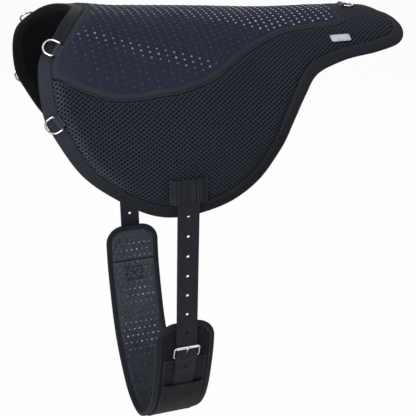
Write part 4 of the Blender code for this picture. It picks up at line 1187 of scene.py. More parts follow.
def set_dots(name, places, body, slot, finish, radius, height, spread):
    """Dots on places, which ride on a body."""
    values = {"Radius": radius, "Height": height, "Spread": spread, "Finish": the_finish(finish)}
    ride(shared("dot_tree", dot_tree).run(name, places_mesh(places), values), body, slot)


# What the pieces share

kept = {}


def shared(name, make):
    """Makes a thing once, and gives the same one again."""
    if name not in kept:
        kept[name] = make()
    return kept[name]


def the_pattern():
    return shared("pattern", Pattern)


def the_sizes():
    return bpy.context.scene.bareback_sizes


def the_finish(name):
    c, z = bpy.context.scene.bareback_colours, the_sizes()
    makers = {
        "seat": lambda: seat_knit(c),
        "mesh": lambda: spacer_mesh(c, z),
        # The border tape carries painted shade on its inner leg, low on the flaps and over the
        # pad's top, and a painted highlight down the front
        "border": lambda: smooth_weave("border_tape", c.border, 0.72, inner=0.14, painted_light=0.95),
        "piping": lambda: smooth_weave("piping_cord", c.piping, 0.7, pitch=0.0012, depth=0.00006),
        # The lining's near-black is painted shade inside the arch
        "lining": lambda: neoprene("grip_lining", c.lining, 0.85),
        "dots": lambda: rubber_dot("grip_dots", c.dots),
        "webbing": lambda: webbing("strap_webbing", c.webbing),
        "belt": lambda: webbing("belt_webbing", c.webbing, 0.66, 0.0026, 0.0022),
        # The tabs' paler colour is a painted highlight on their fold
        "tab": lambda: webbing("tab_webbing", c.tabs, 0.6, 0.0016, 0.0014),
        "elastic": lambda: ribbed_elastic(c, z),
        "girth": lambda: neoprene("girth_neoprene", c.girth),
        "girth_lining": lambda: perforated_jersey(c, z),
        "girth_strip": lambda: webbing("wide_webbing", c.girth_strip, 0.66, 0.0030, 0.0018),
        "girth_edge": lambda: smooth_weave("girth_tape", c.girth_edge, 0.65),
        "girth_dots": lambda: rubber_dot("girth_dots", (0.42, 0.43, 0.48), 0.5),
        "label": lambda: woven_label(c),
        "metal": lambda: polished_metal("nickel_plate", c.metal),
        "roller": lambda: polished_metal("roller_nickel", (0.82, 0.82, 0.83), 0.32),
        "thread": lambda: sewing_thread("grey_seam_thread", c.thread),
        "dark_thread": lambda: sewing_thread("black_thread", (0.006, 0.006, 0.008)),
        "grey_thread": lambda: sewing_thread("label_thread", (0.13, 0.135, 0.155)),
        "floor": white_floor,
    }
    return shared("finish_" + name, makers[name])


def pad_place(p, out):
    return arch(p.x, p.y, out)


def facing_out(p):
    """The direction out of the pad at a pattern point."""
    return (arch(p.x, p.y, 0.01) - arch(p.x, p.y, 0.0)).normalized()


def ring_places():
    """Where each D-ring's bar lies on the pattern: name, point, direction of its arc, heights."""
    pattern = the_pattern()
    bar_height = WIRE_RADIUS + TAB_PLAY + TAB_THICKNESS + GAP + TAB_PLAY / 2
    places = []
    for level, drop, inset, seat in (
        ("upper", UPPER_RING_DROP, UPPER_RING_INSET, 0.0),
        ("lower", LOWER_RING_DROP, LOWER_RING_INSET, LOWER_RING_SEAT),
    ):
        k = pattern.below(pattern.outline, drop)
        normal = pattern.normals[k]
        p = pattern.outline[k] + normal * inset
        out = bar_height - BORDER_STEP - seat
        places.append((f"near_{level}", mirrored(p), -mirrored(normal), out, bar_height))
        places.append((f"far_{level}", p, -normal, out, bar_height))
    rear = Vector((pattern.seat_edge[-1].x + REAR_RING_BACK, 0.0))
    places.append(("rear", rear, Vector((1.0, 0.0)), bar_height, bar_height))
    return places


def held_down(p):
    """How much the padding is pressed flat by what is sewn on it, from 0 to 1."""
    most = 0.0
    for name, at, towards, *_ in shared("ring_places", ring_places):
        if name != "rear":
            most = max(most, fade((p - (at - towards * TAB_LEG)).length - 0.013, 0.016))
    low = KEEPER_TOP_DROP + KEEPER_HEIGHT / 2
    gap = max(abs(p.x) - KEEPER_WIDTH / 2, abs(abs(p.y) - low) - KEEPER_HEIGHT / 2, 0.0)
    most = max(most, fade(gap, 0.014))
    beside = abs(p.x - LABEL_BACK) - LABEL_LENGTH / 2
    gap = max(beside, abs(-p.y - LABEL_DROP) - LABEL_WIDTH / 2, 0.0)
    return max(most, fade(gap, 0.008))


# Pieces of the pad


def flap_face(p):
    """How far out the mesh lies at a pattern point."""
    z = the_sizes()
    pattern = the_pattern()
    from_seam = max(pattern.inset(p) - BORDER_WIDTH, 0.0)
    from_cord = max(pattern.from_piping(p) - PIPING_RADIUS, 0.0)
    loose = 1 - held_down(p)
    front = 1 + z.front_roll * smoothstep((-0.13 - p.x) / 0.05)
    out = pattern.level(p) + z.puff * front * loose * swelling(from_seam, 0.010, 0.05)
    out += z.puff * 0.5 * loose * swelling(from_cord, 0.009, 0.04)
    out -= z.seam_dip * (fade(from_seam, 0.0035) + 0.8 * fade(from_cord, 0.005))
    out += z.pucker * gathers(p.x, p.y) * fade(min(from_seam, from_cord), 0.014) * loose
    return out + z.ripple * unevenness(p.x, p.y) * loose * smoothstep(from_seam / 0.02)


def seat_face(p):
    """How far out the seat's knit lies at a pattern point."""
    z = the_sizes()
    inside = the_pattern().inside_seat(p)
    out = the_pattern().level(p) + SEAT_CROWN * smoothstep(inside / SEAT_CROWN_RUN)
    out += 0.0012 * swelling(inside, 0.010, 0.055) - 0.0021 * fade(inside, 0.0045)
    out -= 0.0011 * bell(inside - z.seat_band, 0.0019)
    out += z.pucker * gathers(p.x, p.y) * fade(inside, 0.014)
    return out + z.ripple * unevenness(p.x, p.y, 11.0) * smoothstep(inside / 0.02)


def mark_distance(piece, distance):
    """Stores each point's distance from an edge, which the piece's finish reads."""
    away = piece.data.attributes.new("from_edge", "FLOAT", "POINT")
    for loop, at in zip(piece.data.loops, piece.data.uv_layers["pattern"].data):
        away.data[loop.vertex_index].value = max(distance(Vector(at.uv)), 0.0)


def make_padding():
    """The seat and the flaps, each with its foam, and the lining under both."""
    z = the_sizes()
    pattern = the_pattern()
    edge_gap = PIPING_RADIUS + GAP
    spokes = range(SPOKES + 1)
    under = LINING_THICKNESS + 2 * GAP - PAD_THICKNESS
    seat = panel(
        "seat_pad",
        [pattern.seat_spoke(i, edge_gap) for i in spokes],
        lambda p: pad_place(p, seat_face(p)),
        lambda p: pad_place(p, under),
        "seat",
    )
    mark_distance(seat, pattern.inside_seat)
    ride(seat, "pad", "seat", "seat_cover", "seat_foam")
    flap = panel(
        "flap_pad",
        [pattern.flap_spoke(i, edge_gap) for i in spokes[CORNER_SPOKE:]],
        lambda p: pad_place(p, flap_face(p)),
        lambda p: pad_place(p, under),
        "mesh",
    )
    mark_distance(flap, lambda p: pattern.inset(p) - BORDER_WIDTH)
    ride(flap, "pad", "mesh", "mesh_cover", "foam_core")
    lining_edge = BINDING_INNER_WIDTH + GAP

    def lining_face(p):
        from_edge = max(pattern.inset(p) - lining_edge, 0.0)
        sag = z.ripple * 0.5 * unevenness(p.x, p.y, 23.0) * smoothstep(from_edge / 0.03)
        return pad_place(p, -PAD_THICKNESS + max(sag, 0.0) * 0.5)

    lining = panel(
        "pad_underside",
        [
            pattern.seat_spoke(i, edge_gap)[::3]
            + pattern.flap_spoke(i, edge_gap)[::3]
            + [pattern.rim[i] + pattern.rim_normals[i] * lining_edge]
            for i in spokes
        ],
        lambda p: pad_place(p, LINING_THICKNESS - PAD_THICKNESS),
        lining_face,
        "lining",
    )
    ride(lining, "pad", "lining", "lining")
    edge = pattern.rim + [mirrored(p) for p in reversed(pattern.rim)]
    stretched_sheet(lining, edge, "flap_pad", "seat_pad")


def folded_rim(turn, middle, deep, steps):
    """The round rim of a folded binding, from its outer leg to its inner one."""
    angles = [math.pi / 2 - math.pi * k / steps for k in range(steps + 1)]
    return [(turn * (1 - math.cos(a)), middle + deep * math.sin(a)) for a in angles]


def make_border():
    """Folded binding all round: padded outer leg, round rim and inner leg."""
    z = the_sizes()
    pattern = the_pattern()
    face, back, wall = -BORDER_STEP, -PAD_THICKNESS, BINDING_THICKNESS
    middle, deep, sunk = (face + back) / 2, (face - back) / 2, face - BORDER_SINK
    profile = [(BORDER_WIDTH, sunk)]
    for k in range(1, 9):
        t = k / 9
        out = face + BORDER_SWELL * math.sin(math.pi * t**0.6) - BORDER_SINK * fade(t, 0.22)
        profile.append((BORDER_WIDTH + (BINDING_TURN - BORDER_WIDTH) * t, out))
    profile += folded_rim(BINDING_TURN, middle, deep, 12)
    profile += [(BINDING_INNER_WIDTH * 0.5, back), (BINDING_INNER_WIDTH, back)]
    profile += [(BINDING_INNER_WIDTH, back + wall), (BINDING_TURN + wall, back + wall)]
    profile += [(wall * 1.6, middle), (BINDING_TURN + wall, face - wall)]
    profile.append((BORDER_WIDTH, sunk - wall))
    stations = list(zip(pattern.rim, pattern.rim_normals))
    stations += [(mirrored(p), mirrored(n)) for p, n in reversed(stations[1:SPOKES])]
    loops, maps, run = [], [], 0.0
    for k, (p, n) in enumerate(stations):
        run += (p - stations[k - 1][0]).length if k else 0.0
        loop = []
        for d, out in profile:
            q = p + n * d
            ease = smoothstep(d / 0.008) if out > middle else 0.0
            rise = z.ripple * 0.35 * unevenness(q.x, q.y, 5.0) * ease
            rise += z.pucker * 0.5 * gathers(q.x, q.y) * ease * smoothstep((d - 0.012) / 0.01)
            loop.append(pad_place(q, out + rise))
            maps.append((run, d if out > middle else -d))
        loops.append(loop)
    border = swept("pad_border", loops, "border", maps, closed=True)
    ride(border, "pad", "binding", "edge_binding")
    rows = [
        [pad_place(p + n * (BORDER_WIDTH - inset), face + out) for p, n in stations + stations[:1]]
        for inset, out in ((0.0016, -0.00005), (0.0052, 0.00045))
    ]
    sew("border_stitches", rows, "pad", "binding")


def make_piping():
    """Piping along the seat's lower edge, from one front corner round the back to the other."""
    pattern = the_pattern()
    half = pattern.seat[CORNER_SPOKE + 1 :]
    normals = pattern.seat_normals[CORNER_SPOKE + 1 :]

    def line(inside, face):
        """A line beside the seat's edge, as far out as face says."""
        row = [p + n * inside for p, n in zip(half, normals)]
        return [pad_place(p, face(p)) for p in [mirrored(p) for p in row] + row[-2::-1]]

    path = line(0.0, lambda p: pattern.level(p) - PIPING_RADIUS / 2)
    last = len(path) - 1

    def size(k):
        return PIPING_RADIUS * (0.55 + 0.45 * smoothstep(min(k, last - k) / 6))

    ride(tube("seat_cord", path, size, 12, "piping"), "pad", "seat_edge", "seat_piping")
    below = line(-0.0052, lambda p: flap_face(p) + STITCH_RISE)
    band = line(the_sizes().seat_band, lambda p: seat_face(p) + STITCH_RISE)
    sew("seat_stitches", [below[2:-2], band[6:-6]], "pad", "seat_edge")


def dot_painted_sheen(x, drop):
    """How bright a seat dot is painted, as painted sheen: bright along the spine and in a slanting
    band, dim elsewhere.
    """
    low = 0.040 + 0.25 * max(x - 0.03, 0.0)
    spine_sheen = fade(drop - low, 0.016) * (0.42 + 0.58 * smoothstep((x + 0.02) / 0.22))
    start = 0.106 + 0.34 * (x + 0.1635)
    band = smoothstep((drop - start + 0.022) / 0.020)
    band *= 0.075 + 0.40 * fade(drop - start - 0.003, 0.024)
    chance = noise.noise(Vector((x * 75, drop * 75, 4.0)))
    return max(spine_sheen * 1.08, band, 0.07) * (0.85 + 0.7 * chance)


def make_grip_dots():
    """Small grip dots all over the seat's knit."""
    z = the_sizes()
    pattern = the_pattern()
    half = [(p.x, p.y) for p in pattern.whole_seat]
    outline = half + [(x, -y) for x, y in reversed(half)]

    def inside(p):
        crossings = 0
        for (x0, y0), (x1, y1) in zip(outline, outline[1:] + outline[:1]):
            if (y0 > p.y) != (y1 > p.y) and p.x < x0 + (p.y - y0) * (x1 - x0) / (y1 - y0):
                crossings += 1
        return crossings % 2 == 1

    places = []
    for i in range(-30, 60):
        for j in range(-60, 30):
            p = DOT_ORIGIN + DOT_ALONG * i + DOT_DOWN * j
            on_seat = -0.3 < p.x < 0.5 and abs(p.y) < 0.27 and inside(p)
            if on_seat and pattern.inside_seat(p) >= z.seat_band + 0.003:
                # Each dot's painted sheen, by where it lies on the seat
                painted_sheen = dot_painted_sheen(p.x, abs(p.y))
                places.append((pad_place(p, seat_face(p)), facing_out(p), painted_sheen))
    set_dots("seat_dots", places, "pad", "seat", "dots", z.dot_radius, z.dot_height, 0.12)


def keeper_path(width, low, high):
    """A keeper's centre line in its own plane: out of one seam, over the strap, into the other."""
    half, seam = width / 2, KEEPER_SEAM
    side = [(half, low), (half - seam, low), (half - seam - (high - low), high)]
    return [(-x, z) for x, z in side] + [(x, z) for x, z in reversed(side)]


def make_keeper(name, node, centre, down, side, size, heights, finish, body, slot, rib=None):
    """A band across a strap that runs down past centre, on the near (-1) or the far (1) side.

    size is its width, height and thickness, heights how far out its ends and its middle lie.
    """
    width, height, thickness = size
    out = Vector((0.0, down.z, -down.y)) * (-side)
    across = Vector((1.0, 0.0, 0.0))
    line = [centre + across * x + out * h for x, h in keeper_path(width, *heights)]
    if down.cross(line[1] - line[0]).dot(out) <= 0:
        line.reverse()
    path = spaced(eased(line, 0.004, 5), 0.00045 if rib else 0.002)

    def ribs(at):
        return RIB_DEPTH * (0.5 + 0.5 * math.cos(2 * math.pi * at / rib))

    band = strap(name, path, down, height, thickness, finish, 8, ribs if rib else None)
    ride(band, body, slot, node)
    run = run_along(path)
    rows = []
    for at in (0.0012, 0.0034, run[-1] - 0.0034, run[-1] - 0.0012):
        middle, ahead = point_along(path, run, at)
        middle += down.cross(ahead).normalized() * (thickness / 2 + 0.0004)
        rows.append([middle + down * height * t for t in (-0.46, -0.2, 0.0, 0.2, 0.46)])
    sew(name + "_stitches", rows, body, slot, share=0.8)


def make_keepers():
    """Wide elastic keepers over the billets' sewn ends."""
    low = KEEPER_THICKNESS / 2 + GAP
    high = 2 * STRAP_THICKNESS + 4 * GAP + KEEPER_THICKNESS / 2
    middle = KEEPER_TOP_DROP + KEEPER_HEIGHT / 2
    size = (KEEPER_WIDTH, KEEPER_HEIGHT, KEEPER_THICKNESS)
    for name, side in (("near", -1), ("far", 1)):
        centre = arch(0.0, side * middle, 0.0)
        down = (arch(0.0, side * (middle + GAP), 0.0) - centre).normalized()
        make_keeper(
            f"{name}_elastic", f"{name}_keeper", centre, down, side, size, (low, high),
            "elastic", "pad", "elastic", the_sizes().elastic_rib,
        )


def surface_frame(p, towards, out):
    """A place on the pad's outer face: x towards the given pattern direction, z outwards."""
    origin = arch(p.x, p.y, out)
    step = towards * WIRE_RADIUS
    ahead = arch(p.x + step.x, p.y + step.y, out) - arch(p.x - step.x, p.y - step.y, out)
    ahead.normalize()
    across = arch(p.x - step.y, p.y + step.x, out) - arch(p.x + step.y, p.y - step.x, out)
    up = ahead.cross(across).normalized()
    if up.dot(arch(p.x, p.y, out + WIRE_RADIUS) - origin) < 0:
        up = -up
    across = up.cross(ahead).normalized()
    rows = Matrix((ahead, across, up)).transposed().to_4x4()
    return Matrix.Translation(origin) @ rows


def ring_path():
    """The wire's centre line: bar on the y axis, arc towards +x."""
    w, leg, corner = RING_HALF_WIDTH, RING_LEG, RING_CORNER
    turn = []
    for k in range(7):
        a = math.pi / 2 * k / 6
        turn.append((corner * (1 - math.cos(a)), w - corner * (1 - math.sin(a))))
    path = [Vector((x, -y, 0.0)) for x, y in turn]
    path += [Vector((corner + (leg - corner) * t, -w, 0.0)) for t in (0.35, 0.7)]
    for k in range(33):
        a = -math.pi / 2 + math.pi * k / 32
        path.append(Vector((leg + w * math.cos(a), w * math.sin(a), 0.0)))
    path += [Vector((corner + (leg - corner) * t, w, 0.0)) for t in (0.7, 0.35)]
    path += [Vector((x, y, 0.0)) for x, y in reversed(turn)]
    return path


def tab_path(drop):
    """Centre line of a tab that wraps the bar on the y axis and is sewn down towards -x."""
    reach = WIRE_RADIUS + TAB_PLAY + TAB_THICKNESS / 2
    half = TAB_THICKNESS / 2 + TAB_PLAY / 2
    end = -TAB_LEG
    floor = -drop + TAB_THICKNESS / 2
    upper = [Vector((end, 0.0, floor + 2 * half)), Vector((end * 0.72, 0.0, floor + 2 * half))]
    lower = [Vector((end * 0.72, 0.0, floor)), Vector((end, 0.0, floor))]
    first = math.radians(132)
    wrap = []
    for k in range(21):
        a = first - 2 * first * k / 20
        wrap.append(Vector((reach * math.cos(a), 0.0, reach * math.sin(a))))
    return spaced(eased(upper + wrap + lower, 0.0016, 4), 0.001)


def make_rings():
    """D-rings, each in the folded tab that is sewn down behind it."""
    depth = RING_LEG + RING_HALF_WIDTH
    for name, p, towards, out, above in shared("ring_places", ring_places):
        place = surface_frame(p, towards, out)
        lean = math.asin((above - WIRE_RADIUS - 2 * GAP) / depth)
        tilted = place @ Matrix.Rotation(lean, 4, "Y")
        wire = [tilted @ q for q in ring_path()]
        ring = tube(f"{name}_d_ring", wire, WIRE_RADIUS, 16, "metal", closed=True)
        ride(ring, f"{name}_d_ring", "chrome", f"{name}_ring")
        drop = above - GAP if name == "rear" else above - 0.0002
        across = (place.to_3x3() @ Vector((0.0, 1.0, 0.0))).normalized()
        path = [place @ q for q in tab_path(drop)]
        tab = strap(f"{name}_ring_tab", path, across, TAB_WIDTH, TAB_THICKNESS, "tab", 12)
        ride(tab, "pad", "webbing", f"{name}_tab")
        high = -drop + 2 * TAB_THICKNESS + TAB_PLAY + STITCH_RISE
        rows = [
            [place @ Vector((-TAB_LEG * share, TAB_WIDTH * t, high)) for t in (-0.44, 0.0, 0.44)]
            for share in (0.92, 0.78)
        ]
        sew(f"{name}_tab_stitches", rows, "pad", "webbing", share=0.7)


def make_label():
    """A blank woven label with rounded corners and curled short ends."""
    wide, tall = 36, 16
    rows = []
    for i in range(wide + 1):
        rows.append([])
        for j in range(tall + 1):
            u, v = 2 * i / wide - 1, 2 * j / tall - 1
            trim = 0.0011 * (abs(u) ** 10) * (abs(v) ** 10)
            x = LABEL_BACK + (LABEL_LENGTH / 2 - trim) * u
            rows[-1].append(Vector((x, -LABEL_DROP + (LABEL_WIDTH / 2 - trim) * v)))

    def rise(p):
        u = abs(p.x - LABEL_BACK) / (LABEL_LENGTH / 2)
        v = abs(p.y + LABEL_DROP) / (LABEL_WIDTH / 2)
        free = 1 - max(smoothstep((u - 0.8) / 0.12), smoothstep((v - 0.72) / 0.2))
        fold = smoothstep((max(u, v) - 0.96) / 0.04)
        wrinkle = noise.noise(Vector((p.x * 160, p.y * 220, 0.5)))
        return 0.0007 * free + 0.0002 * fold + 0.0003 * wrinkle * free

    def base(p):
        return max(flap_face(p), 0.0) + 0.0002

    label = grid_slab(
        "plain_label",
        rows,
        lambda p: pad_place(p, base(p) + LABEL_THICKNESS + rise(p)),
        lambda p: pad_place(p, base(p) + rise(p) * 0.5),
        "label",
    )
    ride(label, "pad", "label", "blank_label")
    stretched_sheet(label, edge_of(rows), "flap_pad")
    w, h = LABEL_LENGTH / 2 - 0.0017, LABEL_WIDTH / 2 - 0.0017
    corners = [(-w, -h), (w, -h), (w, h), (-w, h), (-w, -h)]
    row = []
    for (x0, y0), (x1, y1) in zip(corners, corners[1:]):
        for k in range(8):
            q = Vector((LABEL_BACK + x0 + (x1 - x0) * k / 8, -LABEL_DROP + y0 + (y1 - y0) * k / 8))
            row.append(pad_place(q, base(q) + LABEL_THICKNESS + rise(q) + 0.0001))
    sew("label_stitches", [row + row[:1]], "pad", "label", "grey_thread", 0.55)


# Pieces of the girth


class GirthCurve:
    """Half of the girth's U in the cross plane, by distance up the leg from its lowest point."""

    def __init__(self):
        points = [
            Vector((u * GIRTH_HALF_SPAN, GIRTH_LOWEST + v * GIRTH_DEPTH))
            for u, v in GIRTH_CURVE_shares
        ]
        before = Vector((-points[1].x, points[1].y))
        after = points[-1] + (points[-1] - points[-2])
        self.line = curve_through(points, before, after, RING_STEPS)
        self.run = run_along(self.line)

    def at(self, up_leg):
        b = min(abs(up_leg), self.run[-1])
        k = next(i for i in range(len(self.run) - 1) if b <= self.run[i + 1])
        t = (b - self.run[k]) / (self.run[k + 1] - self.run[k])
        p = self.line[k].lerp(self.line[k + 1], t)
        along0 = self.line[k + 1] - self.line[max(k - 1, 0)]
        along1 = self.line[min(k + 2, len(self.line) - 1)] - self.line[k]
        if k == 0:
            along0 = Vector((1.0, 0.0))
        along = along0.normalized().lerp(along1.normalized(), t).normalized()
        return p, Vector((along.y, -along.x))

    def place(self, run, x, out):
        """A place on the girth: run is distance from the lowest point, negative on the near leg."""
        p, n = self.at(run)
        side = -1 if run < 0 else 1
        return Vector((x, side * (p.x + n.x * out), p.y + n.y * out))


def the_curve():
    return shared("girth_curve", GirthCurve)


def girth_rows(inset):
    """Rows of the girth's flat pattern: (run, half width), with rounded corners."""
    near, far = -NEAR_LEG + inset, FAR_LEG - inset
    half, corner = GIRTH_WIDTH / 2 - inset, GIRTH_CORNER - inset
    turns = [math.pi / 2 * k / GIRTH_CORNER_ROWS for k in range(GIRTH_CORNER_ROWS + 1)]
    ends = [(corner * (1 - math.cos(a)), half - corner * (1 - math.sin(a))) for a in turns]
    low, high = near + corner, far - corner
    rows = [(near + run, w) for run, w in ends]
    rows += [(low + (high - low) * k / GIRTH_ROWS, half) for k in range(1, GIRTH_ROWS)]
    return rows + [(far - run, w) for run, w in reversed(ends)]


def girth_edge_gap(run, x):
    """How far a girth point lies inside the girth's cut edge."""
    half = GIRTH_WIDTH / 2
    side = half - abs(x)
    end = min(run + NEAR_LEG, FAR_LEG - run)
    if end < GIRTH_CORNER and side < GIRTH_CORNER:
        return GIRTH_CORNER - math.hypot(GIRTH_CORNER - end, GIRTH_CORNER - side)
    return min(side, end)


def girth_face(run, x):
    """How far out the girth's cover lies: it swells between the webbing and the binding."""
    from_edge = max(girth_edge_gap(run, x) - GIRTH_BINDING_WIDTH, 0.0)
    from_strap = max(abs(x) - GIRTH_WEBBING_WIDTH / 2, 0.0)
    near = -NEAR_LEG + ROLLER_DOWN + BUCKLE_PITCH
    far = FAR_LEG - ROLLER_DOWN - BUCKLE_PITCH
    beyond = max(near - run, run - far, 0.0)
    loose = 1 - fade(from_strap, 0.003) * fade(beyond - 0.004, 0.02)
    out = 0.0011 * smoothstep(from_edge / 0.008) * loose - 0.0008 * fade(from_edge, 0.003)
    out += 0.0005 * noise.noise(Vector((run * 28, x * 28, 2.0))) * loose
    return out + the_sizes().pucker * gathers(run, x) * fade(from_edge, 0.012) * loose


def girth_inner_face(run, x):
    """How far out the girth's lining lies: it swells between its cross seams and the binding."""
    from_edge = max(girth_edge_gap(run, x) - GIRTH_BINDING_WIDTH, 0.0)
    out = CORE_BACK - GAP - GIRTH_LINING
    out -= 0.0009 * smoothstep(from_edge / 0.010) - 0.0014 * fade(from_edge, 0.004)
    out += 0.0013 * bell(abs(run) - GIRTH_SEAM, 0.0022)
    wrinkle = noise.noise(Vector((run * 26, x * 26, 9.0)))
    return out - 0.0004 * wrinkle * smoothstep(from_edge / 0.01)


def girth_cut(columns):
    """Rows of points across the girth inside its binding, closer together at its sides."""
    shares = [math.sin(math.pi / 2 * (2 * j / columns - 1)) for j in range(columns + 1)]
    rows = girth_rows(GIRTH_BINDING_WIDTH + GAP)
    return [[Vector((run, half * share)) for share in shares] for run, half in rows]


def make_girth_pad():
    """The girth's padded cover."""
    curve = the_curve()
    pad = grid_slab(
        "girth_pad",
        girth_cut(30),
        lambda p: curve.place(p.x, p.y, girth_face(p.x, p.y)),
        lambda p: curve.place(p.x, p.y, CORE_BACK),
        "girth",
    )
    ride(pad, "girth", "girth", "girth_core", "girth_cover")


def inner_dot_painted_sheen(run, x):
    """Painted sheen of a dot inside the girth: three bright groups near each end, and patches."""
    past = abs(run) - GIRTH_SEAM
    lit = bell(past - 0.031, 0.018) + bell(past + 0.085, 0.022)
    lit = lit * (0.12 + 1.1 * bell(x - 0.008, 0.026)) + bell(past + 0.190, 0.030)
    high = smoothstep((past + 0.27) / 0.05)
    patch = smoothstep(noise.noise(Vector((run * 13, x * 9, 6.0))) * 1.3 + 0.12)
    chance = noise.noise(Vector((run * 90, x * 90, 8.0)))
    return 0.06 + 0.12 * high + (1.5 * lit + 0.5 * patch * high) * (0.6 + 0.9 * chance)


def make_girth_lining():
    """The girth's lining with its dots, and the stitches of its cross seams and crossed boxes."""
    z = the_sizes()
    curve = the_curve()
    cut = girth_cut(22)
    lining = grid_slab(
        "girth_inner",
        cut,
        lambda p: curve.place(p.x, p.y, CORE_BACK - GAP),
        lambda p: curve.place(p.x, p.y, girth_inner_face(p.x, p.y)),
        "girth_lining",
    )
    ride(lining, "girth", "lining", "girth_lining")
    stretched_sheet(lining, edge_of(cut), "girth_pad")

    places = []
    for i in range(int(1.0 / z.girth_dot_row)):
        run = -NEAR_LEG + 0.03 + i * z.girth_dot_row
        for j in range(-6, 7):
            x = (j + i % 2 / 2) * z.girth_dot_pitch - 0.004
            clear = girth_edge_gap(run, x) >= GIRTH_BINDING_WIDTH + 0.006
            if run <= FAR_LEG - 0.03 and clear and abs(abs(run) - GIRTH_SEAM) > 0.006:
                at = curve.place(run, x, girth_inner_face(run, x))
                away = curve.place(run, x, -0.03) - curve.place(run, x, 0.0)
                # Each dot carries its painted sheen
                places.append((at, away, inner_dot_painted_sheen(run, x)))
    set_dots("girth_inner_dots", places, "girth", "lining", "girth_dots", 0.0019, 0.0004, 0.2)

    half = GIRTH_WIDTH / 2 - GIRTH_BINDING_WIDTH - 0.001
    low, w = GIRTH_SEAM - BOX_BELOW_SEAM - BOX_HALF_LENGTH, BOX_HALF_WIDTH
    high = low + 2 * BOX_HALF_LENGTH
    corners = [(low, -w), (low, w), (high, w), (high, -w), (low, -w), (high, w)]
    corners += [(high, -w), (low, w)]
    steps = [k / 8 for k in range(9)]
    rows = []
    for side in (-1, 1):
        rows.append([(side * GIRTH_SEAM, half * (k / 12 - 1)) for k in range(25)])
        for (r0, x0), (r1, x1) in zip(corners, corners[1:]):
            rows.append([(side * (r0 + (r1 - r0) * t), x0 + (x1 - x0) * t) for t in steps])
    lines = [
        [curve.place(run, x, girth_inner_face(run, x) - STITCH_RISE) for run, x in row]
        for row in rows
    ]
    sew("girth_inner_stitches", lines, "girth", "lining", "dark_thread")


def make_girth_edge():
    """Binding folded round the girth's edge, with its row of stitches on both faces."""
    z = the_sizes()
    curve = the_curve()
    wall, turn, swell = GIRTH_BINDING, GIRTH_TAPE_TURN, GIRTH_TAPE_SWELL
    face, back = CORE_FACE + GAP + wall, CORE_BACK - GAP - wall
    middle, deep = (face + back) / 2, (face - back) / 2
    bulge = [(k / 6, swell * math.sin(math.pi * (k / 6))) for k in range(1, 6)]
    profile = [(1.0, face - swell)]
    profile += [(1.0 + (turn - 1.0) * t, face + rise) for t, rise in bulge]
    profile += folded_rim(turn, middle, deep, 10)
    profile += [(turn + (1.0 - turn) * t, back - rise) for t, rise in bulge]
    profile += [(1.0, back + swell), (1.0, back + wall + swell), (turn, back + wall)]
    profile += [(0.12, middle), (turn, face - wall), (1.0, face - wall - swell)]
    pairs = list(zip(girth_rows(0.0), girth_rows(GIRTH_BINDING_WIDTH)))
    stations = [(*pair, 1) for pair in pairs] + [(*pair, -1) for pair in reversed(pairs)]

    def spot(station, t):
        """The run, and the place across, at a share of the tape's width from the edge."""
        (r0, w0), (r1, w1), side = station
        return r0 + (r1 - r0) * t, side * (w0 + (w1 - w0) * t)

    loops, maps, run = [], [], 0.0
    for k, station in enumerate(stations):
        run += math.dist(spot(station, 0.0), spot(stations[k - 1], 0.0)) if k else 0.0
        loop = []
        for t, out in profile:
            r, x = spot(station, t)
            facing = 1 if out > middle else -1
            rise = z.pucker * 0.9 * gathers(r, x) * smoothstep(t / 0.25)
            loop.append(curve.place(r, x, out + facing * rise))
            maps.append((run, GIRTH_BINDING_WIDTH * facing * t))
        loops.append(loop)
    tape = swept("girth_edge_tape", loops, "girth_edge", maps, closed=True)
    ride(tape, "girth", "binding", "girth_binding")
    rows = [
        [curve.place(*spot(station, 0.84), out) for station in stations + stations[:1]]
        for out in (face + 0.0005, back - 0.0005)
    ]
    sew("girth_edge_stitches", rows, "girth", "binding")


def make_girth_strip():
    """Webbing down the girth's middle, sewn along both edges and twice across each end."""
    curve = the_curve()
    near = -NEAR_LEG + ROLLER_DOWN + BUCKLE_PITCH + GIRTH_WEBBING_GAP
    far = FAR_LEG - ROLLER_DOWN - BUCKLE_PITCH - GIRTH_WEBBING_GAP
    runs = [near + (far - near) * k / GIRTH_ROWS for k in range(GIRTH_ROWS + 1)]
    path = [curve.place(run, 0.0, GIRTH_WEBBING / 2 + GAP) for run in runs]
    across, width = Vector((1.0, 0.0, 0.0)), GIRTH_WEBBING_WIDTH
    made = strap("girth_strip", path, across, width, GIRTH_WEBBING, "girth_strip", 16)
    ride(made, "girth", "webbing", "girth_webbing")
    top, edge = GIRTH_WEBBING + GAP + STITCH_RISE, width / 2 - 0.003
    rows = [[curve.place(run, x, top) for run in runs] for x in (-edge, edge)]
    for run in (near + 0.003, near + 0.017, far - 0.003, far - 0.017):
        rows.append([curve.place(run, edge * (k / 15 - 1), top) for k in range(31)])
    sew("girth_strip_stitches", rows, "girth", "webbing")


class Buckle:
    """One end of the girth: places by distance down from the end, across, and out from its face."""

    def __init__(self, curve, side):
        self.curve, self.side = curve, side
        self.leg = NEAR_LEG if side < 0 else FAR_LEG
        self.bar_down = ROLLER_DOWN + BUCKLE_PITCH
        self.base = self.place(self.bar_down, 0.0, 0.0)
        below = self.place(self.bar_down + BUCKLE_PITCH, 0.0, 0.0)
        above = self.place(ROLLER_DOWN, 0.0, 0.0)
        self.down = (below - above).normalized()
        self.out = Vector((0.0, self.down.z, -self.down.y)) * (-side)
        self.across = Vector((1.0, 0.0, 0.0))

    def place(self, down, x, out):
        return self.curve.place(self.side * (self.leg - down), x, out)

    def flat(self, down, x, out):
        """A place in the buckle's own straight plane, down from its bar."""
        return self.base + self.down * down + self.across * x + self.out * out


def the_buckle(name):
    return shared(f"{name}_buckle", lambda: Buckle(the_curve(), -1 if name == "near" else 1))


